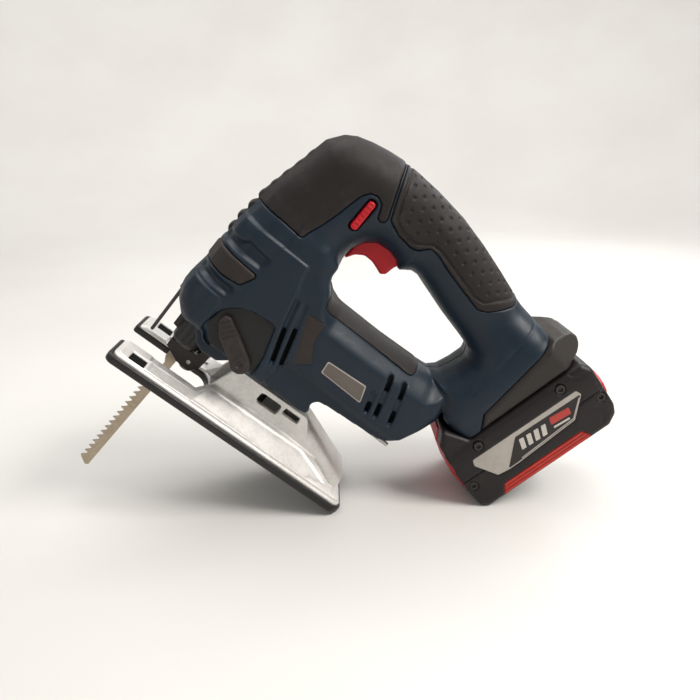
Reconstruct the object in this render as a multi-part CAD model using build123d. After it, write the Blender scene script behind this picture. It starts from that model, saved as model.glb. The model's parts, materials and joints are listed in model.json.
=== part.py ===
from build123d import *
import math
import os

# ---------------------------------------------------------------------------
# Cordless bow-handle jigsaw.  Modelled in the tool's own axes first
# (x to the rear, y to the tool's right, z up from the sole), then parked:
# tipped back so that the heel of the shoe and the lower corner of the
# battery stand on the bench.
# ---------------------------------------------------------------------------

# ---- driving dimensions (mm, degrees) --------------------------------------
PARK_TILT = 41.0            # nose-up angle when parked on heel and battery
SHOE_X0, SHOE_X1 = -32.0, 151.5
SHOE_HW = 42.0              # half width of the sole
SHOE_CORNER = 10.0
SOLE_T = 3.0                # plastic glide sole
SOLE_LIP = 5.6              # height of its side lip
PLATE_Z = 7.0               # top of the cast plate
SLOT_HW = 14.5              # half width of the open blade slot
SLOT_END = 23.0
VAULT_R = 41.2              # crown radius of the bevel rib about the sole line
VAULT_HW = 17.0
HEEL_R = 2.0
BODY_HW = 31.0              # half width of head and motor casing
NECK_HW = 26.0
GRIP_HW = 21.0
FOOT_HW = 27.0
WALL = 3.0
PLUNGER_X = 1.5
PLUNGER_R = 5.0
STROKE = 26.0
GEAR_Z, MOTOR_Z = 106.0, 81.9
MODULE = 0.8
PINION_TEETH, GEAR_TEETH = 10, 50
BLADE_W, BLADE_T, BLADE_LEAN = 8.0, 1.3, 2.2
BLADE_TIP_Z = -99.5
TOOTH_PITCH = 5.0
ROLLER_X, ROLLER_Z, ROLLER_R = 10.85, 14.0, 6.0
ARM_PIVOT = (24.0, 47.0)
SELECTOR_PIVOT = (35.0, 46.0)
TRIGGER_PIVOT = (76.0, 163.0)
BATT_LEAN = 11.0            # battery leans this far from square to the sole
BATT_O = (233.5, 75.9)      # a point on the battery's outer face
BATT_HW = 37.5
BATT_TOP = 104.0
RAIL_HW = 25.0
COLLAR_HW = 34.0


# ---- helpers ---------------------------------------------------------------
def ext(pts, y0, y1):
    """Outline in x, z drawn from y0 to y1."""
    pl = Plane(origin=(0, y1, 0), x_dir=(1, 0, 0), z_dir=(0, -1, 0))
    return extrude(pl * make_face(Polyline(*pts, close=True)), amount=y1 - y0)


def sym(pts, hw):
    return ext(pts, -hw, hw)


def extx(pts, x0, x1):
    """Outline in y, z drawn from x0 to x1."""
    pl = Plane(origin=(x0, 0, 0), x_dir=(0, 1, 0), z_dir=(1, 0, 0))
    return extrude(pl * make_face(Polyline(*pts, close=True)), amount=x1 - x0)


def extz(pts, z0, z1):
    return extrude(Pos(0, 0, z0) * make_face(Polyline(*pts, close=True)), amount=z1 - z0)


def box(x0, x1, y0, y1, z0, z1):
    return Pos((x0 + x1) / 2, (y0 + y1) / 2, (z0 + z1) / 2) * Box(x1 - x0, y1 - y0, z1 - z0)


def cx(r, x0, x1, y=0.0, z=0.0):
    return Pos((x0 + x1) / 2, y, z) * Rot(0, 90, 0) * Cylinder(r, x1 - x0)


def cy(r, y0, y1, x=0.0, z=0.0):
    return Pos(x, (y0 + y1) / 2, z) * Rot(90, 0, 0) * Cylinder(r, y1 - y0)


def cz(r, z0, z1, x=0.0, y=0.0):
    return Pos(x, y, (z0 + z1) / 2) * Cylinder(r, z1 - z0)


def both(make):
    """The same feature on the left and on the right."""
    a = make
    return a + mirror(a, about=Plane.XZ)


def slotpts(x0, z0, x1, z1, w):
    """A straight slot of width w between two points, as an outline."""
    d = math.hypot(x1 - x0, z1 - z0)
    nx, nz = -(z1 - z0) / d * w / 2, (x1 - x0) / d * w / 2
    return [(x0 + nx, z0 + nz), (x1 + nx, z1 + nz), (x1 - nx, z1 - nz), (x0 - nx, z0 - nz)]


def group(solids):
    """Separate solids kept together as one piece of the list."""
    return Part() + list(solids)


nodes = {}

# ---------------------------------------------------------------------------
# shoe
# ---------------------------------------------------------------------------
def shoe_outline(inset):
    w = SHOE_HW - inset
    f = Pos((SHOE_X0 + SHOE_X1) / 2, 0) * RectangleRounded(
        SHOE_X1 - SHOE_X0 - 2 * inset, 2 * w, SHOE_CORNER - inset)
    s = SLOT_HW
    slot = make_face(Polyline((SHOE_X0 - 20, -s), (SLOT_END, -s), (SLOT_END, s), (SHOE_X0 - 20, s), close=True))
    slot = slot + Pos(SLOT_END, 0) * Ellipse(8, s)
    return f - slot


guide_cut = both(box(-20.5, -9.5, 26.5, 37.0, -5, 30))
screw_x = 66.0

sole = extrude(shoe_outline(0), amount=SOLE_LIP) - extrude(Pos(0, 0, SOLE_T) * shoe_outline(2.4), amount=10)
sole = sole - guide_cut - cz(6.0, -1, 10, screw_x, 0)
heel = sole.edges().filter_by(Axis.Y).filter_by(lambda e: abs(e.center().X - SHOE_X1) < 0.1 and e.center().Z < 0.1)
sole = fillet(heel, HEEL_R)
nodes["sole_cover"] = sole

plate = extrude(Pos(0, 0, SOLE_T) * shoe_outline(2.4), amount=PLATE_Z - SOLE_T)
wedge_front = extx([(17.0, PLATE_Z), (18.5, 9.0), (39.0, 8.4), (39.5, PLATE_Z)], -28.5, 26.0)
wedge_mid = extx([(VAULT_HW - 1, PLATE_Z), (VAULT_HW - 1, 18.0), (17.5, 18.0), (39.0, 8.4), (39.5, PLATE_Z)], 26.0, 146.0)
wedge_mid = wedge_mid - extz([(112, 15.9), (146.1, 37.0), (160, 37.0), (160, 0), (112, 0)], PLATE_Z, 30)
wedge_mid = wedge_mid - ext([(20, 30), (20, 9.0), (25.9, 9.0), (34, 18.2), (34, 30)], 0, 60)
half = wedge_front + wedge_mid
plate = plate + half + mirror(half, about=Plane.XZ)
vault = (box(28.0, 114.0, -VAULT_HW, VAULT_HW, PLATE_Z, 45.0) & cx(VAULT_R, 20.0, 120.0)) \
    - (box(20.0, 120.0, -13.8, 13.8, PLATE_Z - 1, 45.0) & cx(VAULT_R - 3, 10.0, 130.0))
vault = vault - sym([(20, 60), (20, PLATE_Z), (27.5, PLATE_Z), (38.5, 40.5), (38.5, 60)], 40)
vault = vault - sym([(120, 60), (120, PLATE_Z), (115.5, PLATE_Z), (95.0, 37.0), (93.0, 42.5), (93, 60)], 40)
vault = vault - sym([(61, 24.5), (63, 32.5), (78, 32.5), (78, 26.0), (76, 24.5)], 40)
vault = vault - sym([(80, 28.5), (82, 33.0), (94, 33.0), (93, 28.5)], 40)
ramp = sym([(93.5, PLATE_Z), (93.5, 36.4), (97.5, 35.4), (143.0, 16.4), (146.0, PLATE_Z)], VAULT_HW) \
    - sym([(80.0, PLATE_Z - 1), (80.0, 32.6), (97.0, 32.0), (139.0, 14.4), (139.0, PLATE_Z - 1)], 13.8)
plate = plate + vault + ramp
plate = plate - guide_cut - cz(2.5, -1, 20, screw_x, 0) - cz(5.0, -1, 4.5, screw_x, 0)
nodes["shoe_plate"] = plate

nodes["bevel_screw"] = cz(4.4, 1.4, 4.5, screw_x, 0) + cz(2.5, 4.5, 36.0, screw_x, 0) \
    - extrude(Pos(screw_x, 0, 1.0) * RegularPolygon(2.3, 6), amount=2.6)
nodes["bevel_nut"] = box(screw_x - 7, screw_x + 7, -9, 9, 29.5, 34.5) - cz(2.5, 20, 40, screw_x, 0)

# ---------------------------------------------------------------------------
# casing outlines
# ---------------------------------------------------------------------------
HEAD = [(-17, 43), (-23.5, 50), (-25, 61), (-24, 72), (-22.2, 82), (-22, 118), (-19.5, 133),
        (46, 133), (45, 126), (49, 118.6), (53, 114), (53, 42), (30, 42)]
NECK = [(-19.5, 133), (-15, 153), (-12, 163.5), (-9.4, 174.4), (-7.3, 185), (-1, 193), (7, 198),
        (16, 201.2), (26, 203.6), (36, 205.3), (46, 205.6), (46, 133)]
HANDLE = [(45, 205.6), (67, 206), (89, 204), (111.5, 199.8), (132.6, 194.6), (148, 190), (152, 189), (152, 143),
          (141.5, 146), (125, 149.5), (85.4, 159.4), (72, 160.5), (60, 158), (50, 150), (45.5, 140), (45, 133)]
MOTOR = [(52, 42), (93, 42), (89, 50), (92, 54.3), (140, 57.5), (147, 60.5), (153, 65), (163, 84), (166.5, 88),
         (168.2, 96.5), (171, 113.4), (56, 113.4), (52, 115)]
FOOT = [(124.6, 113.2), (132.3, 117.5), (137.6, 123.7), (142.2, 141), (141.5, 146), (150, 150), (150, 189.4),
        (158.5, 187.2), (166, 186.2), (176, 184), (183.7, 176.5), (168.2, 96.5), (150, 96.5), (124.6, 112)]

casing = sym(HEAD, BODY_HW) + sym(NECK, NECK_HW) + sym(HANDLE, GRIP_HW) + sym(MOTOR, BODY_HW) + sym(FOOT, FOOT_HW)
casing = casing + both(ext([(-2, 43.5), (2, 36), (12, 32), (26, 34), (30, 43.5)], 14.0, 18.3))

# rubber over the neck: a cap 2.5 thick over the front and top
SOFT = [(-40, 132.5), (18, 132.5), (31, 176.5), (34, 179.0), (39, 178.4), (43, 172.5), (52.6, 172.2), (46.2, 190), (46.2, 215), (-40, 215)]
SOFT_T = 2.5
neck_in = [(-17, 133), (-12.5, 153), (-9.5, 163), (-6.9, 173.7), (-4.8, 183.6), (0.8, 190.8), (8, 195.4),
           (16.6, 198.6), (26.2, 201.0), (36, 202.8), (45, 203.1), (46, 203.1), (60, 203.3), (60, 120), (-17, 120)]
soft_zone = sym(SOFT, 60)
neck_solid = (sym(NECK, NECK_HW) + sym([(45, 205.6), (56, 205.8), (56, 165), (45, 165)], GRIP_HW)) & soft_zone
front_grip = neck_solid - sym(neck_in, GRIP_HW - SOFT_T) - (sym(neck_in, NECK_HW - SOFT_T) & sym([(-40, 100), (45.9, 100), (45.9, 220), (-40, 220)], 60))
LOCK = (34.2, 39.0, 155.2, 175.6)
lock_cut = box(LOCK[0] - 0.3, LOCK[1] + 0.3, -60, 60, LOCK[2] - 0.3, LOCK[3] + 0.3)
front_grip = front_grip - lock_cut
nodes["front_grip"] = front_grip

# dimpled rubber over the back of the handle
PAD = [(52.8, 172.2), (70, 172), (83.4, 180.3), (130, 171.8), (133.3, 173.7), (138, 169), (149.9, 185.8), (149.9, 215), (46.4, 215), (46.4, 190)]
PAD_T = 2.5
handle_in = [(30, 203.1), (67, 203.4), (88.6, 201.4), (110.9, 197.3), (132, 192.1), (160, 184.0), (160, 120), (30, 120)]
pad_solid = (sym([(45, 205.6)] + HANDLE[1:6] + [(152, 189), (152, 160), (45, 160)], GRIP_HW)) & sym(PAD, 60)
rear_grip = pad_solid - sym(handle_in, GRIP_HW - PAD_T) - front_grip - sym(FOOT, FOOT_HW)
nodes["rear_grip_pad"] = rear_grip

# rubber strip along the lower side of the hand opening
STRIP = [(57, 106.6), (128.6, 106.2), (131.0, 113.0), (124.6, 113.4), (57, 113.4)]
strip = sym(STRIP, BODY_HW) - sym([(50, 100), (50, 111.2), (140, 111.2), (140, 100)], BODY_HW - 2.2)
nodes["lower_grip_strip"] = strip - sym(FOOT, FOOT_HW)

# ---- hollow ----------------------------------------------------------------
C_HEAD = [(-18, 47), (-18.5, 118), (-16.0, 129.9), (42, 129.9), (42, 47)]
C_MOTOR = [(40, 47), (84, 47), (87, 57.2), (147, 61.2), (158, 88), (159, 104), (40, 104)]
C_NECK = [(-10.5, 129), (-9.2, 150), (-5.0, 173), (2, 186), (30, 196), (56, 197), (56, 166), (40, 133), (40, 129)]
C_HANDLE = [(50, 166), (86, 164.5), (126, 155), (146, 151), (146, 186), (130, 189.5), (110, 194.5), (88, 198.5), (66, 200), (50, 197)]
C_FOOT = [(145, 151), (145, 186), (160, 182), (172, 180), (178, 172), (165, 104), (150, 104), (150, 140)]
hollow = sym(C_HEAD, BODY_HW - WALL) + sym(C_MOTOR, BODY_HW - WALL) + sym(C_NECK, 19.5) + sym(C_HANDLE, 16.5) + sym(C_FOOT, 22.0)
mouth = box(-15, 29, -13.5, 13.5, 20, 60)

trigger_cut = sym([(37.5, 128), (37.5, 152), (43, 175), (60, 175), (82.5, 168), (82.5, 150), (66, 128)], 7.6)
vents = [slotpts(38.6, 100.3, 48.5, 61.1, 4.2), slotpts(47.7, 88.7, 55.8, 61.5, 4.2),
         slotpts(112, 92, 124, 78, 4.0), slotpts(119, 94, 137, 73, 4.0)]
key_cut = box(97, 160, -26.4, -22.2, 40, 60.0)
guard_cut = cz(1.3, 40, 60, -21.5, 0)

casing = casing - front_grip - rear_grip - nodes["lower_grip_strip"] - hollow - mouth - trigger_cut - lock_cut - key_cut - guard_cut
casing = casing - cy(1.5, -9.0, 9.0, TRIGGER_PIVOT[0], TRIGGER_PIVOT[1])
casing = casing - cy(3.05, -40, -20, SELECTOR_PIVOT[0], SELECTOR_PIVOT[1])
for v in vents:
    casing = casing - ext(v, -40, -20) - ext(v, 20, 40)
# nameplate seat
casing = casing - ext([(78.9, 73.1), (77.6, 82.5), (108.3, 84.7), (113.0, 72.2)], -BODY_HW - 1, -BODY_HW + 0.6)

# screw seats on the right casing
# x, z and how far out the head ends
SCREWS = [(2, 62, 29.2), (40, 114, 29.4), (46, 52, 29.8), (80, 50, 29.8), (57, 102, 29.0), (150, 100, 27.9), (156, 170, 23.0),
          (92, 164, 14.6), (128, 155, 15.0), (34, 145, 23.6)]
left_mask = box(-100, 300, -100, 0, -50, 300)
right_mask = box(-100, 300, 0, 100, -50, 300)

# ---------------------------------------------------------------------------
# gear case, gears, motor
# ---------------------------------------------------------------------------
gear_case = box(24, 28, -27, 27, 62, 129)
gear_case = gear_case + cx(11, 27, 31, 0, MOTOR_Z) + both(box(-3, 24, 21.4, 24.2, 76, 129))
gear_case = gear_case + box(-9, 12, -22.4, 22.4, 78, 85) + box(-7, 12, -22.4, 22.4, 127, 129) + cz(10, 127, 140, PLUNGER_X, 0)
gear_case = gear_case + both(box(21, 28, 8, 11.5, 41.8, 64)) + both(box(24, 28, 8, 13, 60, 64))
gear_case = gear_case - cz(8.0, 70, 145, PLUNGER_X, 0) - cx(8.0, 20, 40, 0, MOTOR_Z) - cx(4.0, 20, 40, 0, GEAR_Z)
gear_case = gear_case - cy(2.0, -20, 20, ARM_PIVOT[0], ARM_PIVOT[1])
nodes["gear_case"] = gear_case

nodes["plunger_bushes"] = group([cz(8.0, 78, 85, PLUNGER_X, 0) - cz(PLUNGER_R + 0.04, 70, 90, PLUNGER_X, 0),
                                 cz(8.0, 127, 140, PLUNGER_X, 0) - cz(PLUNGER_R + 0.04, 120, 145, PLUNGER_X, 0)])


def gear_outline(teeth, add, ded, half_pitch, half_tip, half_root, phase):
    r = MODULE * teeth / 2
    pts = []
    step = 2 * math.pi / teeth
    for i in range(teeth):
        a = phase + i * step
        for rr, h in ((r - ded, -half_root), (r, -half_pitch), (r + add, -half_tip), (r + add, half_tip), (r, half_pitch), (r - ded, half_root)):
            b = a + h / rr
            pts.append((rr * math.sin(b), rr * math.cos(b)))
    return pts


p = math.pi * MODULE
g_pts = gear_outline(GEAR_TEETH, 0.60, 0.95, 0.205 * p, 0.09 * p, 0.31 * p, 0.0)
p_pts = gear_outline(PINION_TEETH, 0.60, 0.95, 0.205 * p, 0.07 * p, 0.27 * p, math.pi / PINION_TEETH)
g_pts = [(y, z + GEAR_Z) for y, z in [(a, -b) for a, b in g_pts]]
p_pts = [(y, z + MOTOR_Z) for y, z in p_pts]

drive_gear = extx(g_pts, 15.0, 22.0) - cx(4.04, 10, 30, 0, GEAR_Z)
for k in range(6):
    a = math.radians(60 * k + 30)
    drive_gear = drive_gear - cx(3.2, 10, 30, 12 * math.sin(a), GEAR_Z + 12 * math.cos(a))
nodes["drive_gear"] = drive_gear
PIN_Z = GEAR_Z - STROKE / 2
nodes["eccentric_pin"] = cx(3.0, 10.9, 15.0, 0, PIN_Z)
nodes["gear_axle"] = cx(4.0, 15.0, 28.0, 0, GEAR_Z)

nodes["pinion"] = extx(p_pts, 15.0, 22.8) - cx(2.5, 10, 30, 0, MOTOR_Z)
nodes["motor_shaft"] = cx(2.5, 15.0, 131.0, 0, MOTOR_Z)
fan = cx(19, 46, 48, 0, MOTOR_Z) + cx(6, 46, 55, 0, MOTOR_Z)
for k in range(9):
    fan = fan + Pos(0, 0, MOTOR_Z) * Rot(40 * k, 0, 0) * box(47, 55, -0.9, 0.9, 5, 18.6)
nodes["cooling_fan"] = fan - cx(2.5, 40, 60, 0, MOTOR_Z)
arm = cx(16.2, 68, 106, 0, MOTOR_Z)
for k in range(12):
    arm = arm - Pos(0, 0, MOTOR_Z) * Rot(30 * k, 0, 0) * box(60, 110, -1.3, 1.3, 11, 20)
nodes["armature"] = arm - cx(2.5, 60, 120, 0, MOTOR_Z)
nodes["commutator"] = cx(9, 109, 119, 0, MOTOR_Z) - cx(2.5, 100, 125, 0, MOTOR_Z)
can = cx(21.5, 60, 122, 0, MOTOR_Z) - cx(19.6, 62, 120, 0, MOTOR_Z) - cx(9.5, 55, 63, 0, MOTOR_Z) - cx(7.0, 110, 130, 0, MOTOR_Z)
can = can - both(box(108.5, 118.5, 17, 25, MOTOR_Z - 4, MOTOR_Z + 4))
nodes["motor_can"] = can
mag = cx(19.6, 66, 108, 0, MOTOR_Z) - cx(16.8, 60, 115, 0, MOTOR_Z) - box(60, 115, -8, 8, 40, 120)
nodes["motor_magnets"] = mag
nodes["carbon_brushes"] = group([box(111, 116, 9.2, 20.0, MOTOR_Z - 2.5, MOTOR_Z + 2.5), box(111, 116, -20.0, -9.2, MOTOR_Z - 2.5, MOTOR_Z + 2.5)])
nodes["brush_holders"] = group([
    box(108.7, 118.3, s * 15.5 - 2.5 if s > 0 else -23.5, 23.5 if s > 0 else -13.0, MOTOR_Z - 3.8, MOTOR_Z + 3.8)
    - box(111, 116, -30, 30, MOTOR_Z - 2.5, MOTOR_Z + 2.5) for s in (1, -1)])
nodes["motor_bearings"] = group([
    cx(8.0, 24, 31, 0, MOTOR_Z) - cx(2.53, 20, 35, 0, MOTOR_Z),
    cx(7.0, 120, 127, 0, MOTOR_Z) - cx(2.53, 110, 130, 0, MOTOR_Z)])


def rib(x0, x1, z0):
    """A cross rib that cradles the motor can."""
    return sym([(x0, z0), (x1, z0), (x1, 105), (x0, 105)], BODY_HW - WALL + 0.5) - cx(21.5, x0 - 1, x1 + 1, 0, MOTOR_Z)


casing = casing + rib(92, 95, 56.0) + rib(64, 67, 44.0)

# bosses are kept short of the parting plane; screws pass into the left half
for sx, sz, top in SCREWS:
    casing = casing - cy(2.9, 8, 60, sx, sz)
left = casing & left_mask
right = casing & right_mask
nodes["housing_left"] = left
nodes["housing_right"] = right

# ---------------------------------------------------------------------------
# plunger, clamp, blade
# ---------------------------------------------------------------------------
nodes["plunger"] = cz(PLUNGER_R, 49, 146, PLUNGER_X, 0)
yoke = box(PLUNGER_X + 1, 10.5, -19, 19, PIN_Z - 7, PIN_Z + 7) - cz(PLUNGER_R, 60, 150, PLUNGER_X, 0) \
    - box(7.5, 11, -16.3, 16.3, PIN_Z - 3.2, PIN_Z + 3.2)
nodes["scotch_yoke"] = yoke


def lean(shape):
    return Rot(0, BLADE_LEAN, 0) * shape


hw = BLADE_W / 2
teeth = []
zt = -1.0
while zt > BLADE_TIP_Z + TOOTH_PITCH * 1.2:
    teeth += [(-hw + 2.4, zt), (-hw + 1.9, zt - TOOTH_PITCH * 0.42), (-hw - 0.6, zt - TOOTH_PITCH * 0.92)]
    zt -= TOOTH_PITCH
blade_pts = [(-2.6, 47), (2.6, 47), (2.6, 30), (hw, 26), (hw, BLADE_TIP_Z + 0.4), (hw - 2.0, BLADE_TIP_Z - 1.0), (-hw + 1.0, BLADE_TIP_Z + 2.4)] \
    + list(reversed(teeth)) + [(-hw + 2.4, 2.0), (-hw, 6.0), (-hw, 26), (-2.6, 30)]
blade = lean(ext(blade_pts, -BLADE_T / 2, BLADE_T / 2))
nodes["blade"] = blade
clamp = cz(7.4, 24.5, 49, PLUNGER_X, 0) + cz(9.6, 22.8, 24.5, PLUNGER_X, 0)
nodes["blade_clamp"] = clamp - lean(ext([(-5.2, 20), (5.2, 20), (5.2, 30), (2.65, 33), (2.65, 47.05), (-2.65, 47.05), (-2.65, 33), (-5.2, 30)], -BLADE_T / 2 - 0.02, BLADE_T / 2 + 0.02))
collar = cz(10.8, 25.0, 47.5, PLUNGER_X, 0) + ext([(-12.5, 30), (-12.5, 43), (-5, 45), (-5, 28)], -3, 3) - cz(7.45, 20, 60, PLUNGER_X, 0)
for k in range(14):
    a = math.radians(360 / 14 * k)
    if abs(math.degrees(a) - 180) > 30:
        collar = collar - cz(0.9, 27.5, 50, PLUNGER_X + 11.2 * math.cos(a), 11.2 * math.sin(a))
nodes["clamp_collar"] = collar

# guide roller on its swinging arm
roller = cy(ROLLER_R, -0.95, 0.95, ROLLER_X, ROLLER_Z) + cy(ROLLER_R + 1.2, 0.95, 3.1, ROLLER_X, ROLLER_Z) + cy(ROLLER_R + 1.2, -3.1, -0.95, ROLLER_X, ROLLER_Z)
nodes["guide_roller"] = roller - cy(1.54, -5, 5, ROLLER_X, ROLLER_Z)
nodes["roller_pin"] = cy(1.5, -4.9, 4.9, ROLLER_X, ROLLER_Z)
ARM = [(-7.5, 20.5), (-7.5, 15.5), (4, 9.5), (14, 8.6), (19, 14), (20.5, 30), (27.2, 43), (27.4, 50.5), (21, 50.5), (14.6, 38), (13.4, 23.6), (11.9, 21.6), (6, 21.2)]
arm_pl = ext(ARM, 3.4, 4.9)
arm_solid = arm_pl + mirror(arm_pl, about=Plane.XZ) + sym([(17.6, 20), (18.6, 20), (19.9, 31), (24.9, 41.0), (22.9, 42), (17.4, 31)], 4.9)
arm_solid = arm_solid - cy(2.04, -10, 10, ARM_PIVOT[0], ARM_PIVOT[1]) - cy(1.5, -10, 10, ROLLER_X, ROLLER_Z)
nodes["roller_arm"] = arm_solid
nodes["arm_pivot_pin"] = cy(2.0, -11.5, 11.5, ARM_PIVOT[0], ARM_PIVOT[1])

# stroke selector on the left side
SEL = [(7.5, 62.5), (9.5, 67.5), (13.5, 68.5), (28, 57), (41.5, 49), (42.5, 44), (39, 40.0), (33, 39.0), (28.5, 43)]
nodes["selector_lever"] = ext(SEL, -35.5, -BODY_HW - 0.3) + cy(3.0, -33, -28.4, SELECTOR_PIVOT[0], SELECTOR_PIVOT[1])

# wire finger guard and its holder at the nose
guard = cz(1.2, 17.0, 58.0, -21.5, 0)
guard = guard + Pos(-21.5, 0, 17.0) * Sphere(1.2)
nodes["guard_wire"] = guard

# ---------------------------------------------------------------------------
# trigger, lock-off, switch gear
# ---------------------------------------------------------------------------
TRIG = [(46.2, 165.5), (50, 169), (54, 168.5), (80.0, 165.8), (80.2, 158.0), (76.4, 151.8), (75.2, 145.6), (72.2, 142.6), (67.5, 144.4), (62.4, 145.6), (56.4, 145.6),
        (51.2, 142.0), (47.8, 136.4), (46.6, 137.4), (45.8, 145.5), (46, 152)]
trig = sym(TRIG, 7.2) - cy(1.54, -10, 10, TRIGGER_PIVOT[0], TRIGGER_PIVOT[1])
nodes["trigger"] = trig
nodes["trigger_pin"] = cy(1.5, -9.0, 9.0, TRIGGER_PIVOT[0], TRIGGER_PIVOT[1])
nodes["switch_module"] = box(86, 114, -9, 9, 170.5, 188)
nodes["speed_board"] = box(118, 142, -11, 11, 164, 182)
LOCK_TRAVEL = 3.0
nodes["lock_off_bar"] = box(LOCK[0], LOCK[1], -NECK_HW - LOCK_TRAVEL - 0.6, NECK_HW + 0.3, LOCK[2], LOCK[3]) \
    - box(LOCK[0] - 1, LOCK[1] + 1, -13, 13, 171.5, 180)
nodes["nameplate"] = ext([(79.2, 73.4), (78.0, 82.2), (108.1, 84.3), (112.6, 72.5)], -BODY_HW + 0.6 - 0.9, -BODY_HW + 0.6)
nodes["hex_key"] = cx(1.5, 98, 149.5, -24.3, 58.2)

# screws that hold the two casing halves (right side)
ss = []
for sx, sz, top in SCREWS:
    s = cy(2.8, top - 2.4, top, sx, sz) + cy(1.4, 14.5 if sx < 30 else 9.0, top - 2.4, sx, sz)
    s = s - Pos(sx, top, sz) * Rot(90, 0, 0) * extrude(RegularPolygon(1.5, 6), amount=1.4, both=True)
    ss.append(s)
nodes["casing_screws"] = group(ss)

# ---------------------------------------------------------------------------
# battery mount and battery (drawn square, then leaned)
# local x = v (outwards), local z = u (along the pack)
# ---------------------------------------------------------------------------
def pack_place(shape):
    return Pos(BATT_O[0], 0, BATT_O[1]) * Rot(0, BATT_LEAN, 0) * shape


COLLAR = [(-67.9, 4.8), (-50.0, 15.0), (-50.0, 98.0), (-52, 101.2), (-54.8, 107.2), (-60, 110.5), (-65.5, 109), (-69, 104.5), (-68.6, 97), (-67.9, 93)]
mount = sym(COLLAR, COLLAR_HW) - both(extx([(16.4, 109.7), (34.6, 96.0), (34.6, 130), (16.4, 130)], -90, -40))
mount = mount - box(-64.4, -40, -RAIL_HW - 0.4, RAIL_HW + 0.4, -20, 92.6)
mount = mount - both(box(-58.2, -54.0, RAIL_HW, RAIL_HW + 3.2, -20, 92.6))
mount = mount - box(-64.4, -52, -16, 16, 92.0, 97.5)
mount = mount - box(-70, -64, -5.6, 5.6, 12, 24)
placed_mount = pack_place(mount) - sym(FOOT, FOOT_HW) - sym(MOTOR, BODY_HW) - sym(HANDLE, GRIP_HW) - rear_grip
nodes["battery_mount"] = placed_mount
tb = box(-64.4, -52, -15.8, 15.8, 92.6, 97.5)
for yy in (-11, -3.5, 3.5, 11):
    tb = tb + box(-62, -55, yy - 0.4, yy + 0.4, 80.5, 93.5)
nodes["terminal_block"] = pack_place(tb)

FOOT_S0, FOOT_S1 = 101.5, 108.5
heel_pt = (SHOE_X1 - HEEL_R + HEEL_R * math.sin(math.radians(PARK_TILT)), HEEL_R - HEEL_R * math.cos(math.radians(PARK_TILT)))


def bench_local(s):
    """A point of the bench line, s from the heel, in the battery's own axes."""
    tx = heel_pt[0] + s * math.cos(math.radians(PARK_TILT)) - BATT_O[0]
    tz = heel_pt[1] + s * math.sin(math.radians(PARK_TILT)) - BATT_O[1]
    a = math.radians(BATT_LEAN)
    return (tx * math.cos(a) - tz * math.sin(a), tx * math.sin(a) + tz * math.cos(a))


F1 = bench_local(FOOT_S0)
k = -F1[0] / (bench_local(FOOT_S0 + 1)[0] - F1[0])
F2 = bench_local(FOOT_S0 + k)
PACK = [(-49.5, -7.0), (-36, -9.0), (-19.5, -10.5), F1, (0.0, F2[1]), (0.0, 93.0), (-5, 100.5), (-11.5, 103.2), (-25, BATT_TOP), (-43, BATT_TOP + 0.8), (-49.5, 101.0)]
pack_outer = sym(PACK, BATT_HW)
PACK_IN = [(-46.5, -4.0), (-19.5, -7.3), (-5.6, -6.8), (-3.0, -2.0), (-3.0, 92), (-7, 98), (-12.5, 100.2), (-25, 101), (-43, 101.5), (-46.5, 98.5)]
pack_hollow = sym(PACK_IN, BATT_HW - 3.0)
RAIL = box(-63.6, -49.5, -RAIL_HW, RAIL_HW, 7.5, 92.0)
rail = RAIL + both(box(-57.8, -54.4, RAIL_HW - 0.5, RAIL_HW + 2.8, 9.0, 90.0)) - box(-61, -49.4, -RAIL_HW + 2.5, RAIL_HW - 2.5, 10, 78)
for yy in (-11, -3.5, 3.5, 11):
    rail = rail - box(-63.0, -54.0, yy - 1.0, yy + 1.0, 79.5, 95)
nose = sym([(-67.6, 3.6), (-58.1, -5.5), (-49.5, -7.0), (-49.5, 14.4), (-67.6, 4.1)], 35)
nose = nose - sym([(-64.2, -20), (-50.6, -20), (-50.6, 1.6), (-57.2, 2.9), (-59.9, 4.9), (-64.2, 4.9)], 20.4)
shell = pack_outer - pack_hollow
SPLIT_V = -27.0
inner_half = (shell & box(-60, SPLIT_V, -60, 60, -30, 130)) + rail + nose
outer_half = shell & box(SPLIT_V, 10, -60, 60, -30, 130)
# red bumper bands let into the outer half on both sides and round the lower end
stripe = both(ext([(-9.3, 13.2), (-2.0, 8.4), (-2.4, 79.4), (-9.6, 75.5)], BATT_HW - 1.0, BATT_HW))
endband = sym([(-24, 98.0), (-8.5, 96.0), (-5.6, 100.2), (-11.9, 103.4), (-24, BATT_TOP + 0.2)], 24) & pack_outer
endband = endband - pack_hollow
front_band = ext([(-46.5, -8.2), (-46.5, -3.0), (-20.5, -6.0), (-20.5, -11.2)], -27, 27) & shell
# its middle stands proud of the case as a bumper
front_band = front_band + (ext([(-46.5, -6.5), (-44.5, -10.6), (-36, -13.4), (-27, -15.2), (-21.5, -15.6), (-20.5, -9.0)], -24, 24) - pack_outer)
screw_spots = [(-44.3, 15.9), (-43.9, 80.6), (-22.2, 98.4), (-21.2, -4.0)]
label = both(ext([(-38.6, 6.7), (-37.1, 88.2), (-32.6, 89.9), (-19.0, 76.6), (-16.2, 29.6), (-16.2, 22.0), (-17.5, 13.5), (-34.1, 4.9)], BATT_HW - 0.8, BATT_HW))
for sv, su in screw_spots:
    inner_half = inner_half - cy(3.2, -BATT_HW - 1, -BATT_HW + 2.5, sv, su)
    outer_half = outer_half - cy(3.2, -BATT_HW - 1, -BATT_HW + 2.5, sv, su)
inner_half = inner_half - stripe - endband - front_band - label
outer_half = outer_half - stripe - endband - front_band - label
nodes["battery_inner_case"] = pack_place(inner_half)
nodes["battery_outer_case"] = pack_place(outer_half)
nodes["battery_side_bands"] = pack_place(group(stripe.solids()))
nodes["battery_end_bumpers"] = pack_place(group([endband.solids()[0], front_band.solids()[0]]))
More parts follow.
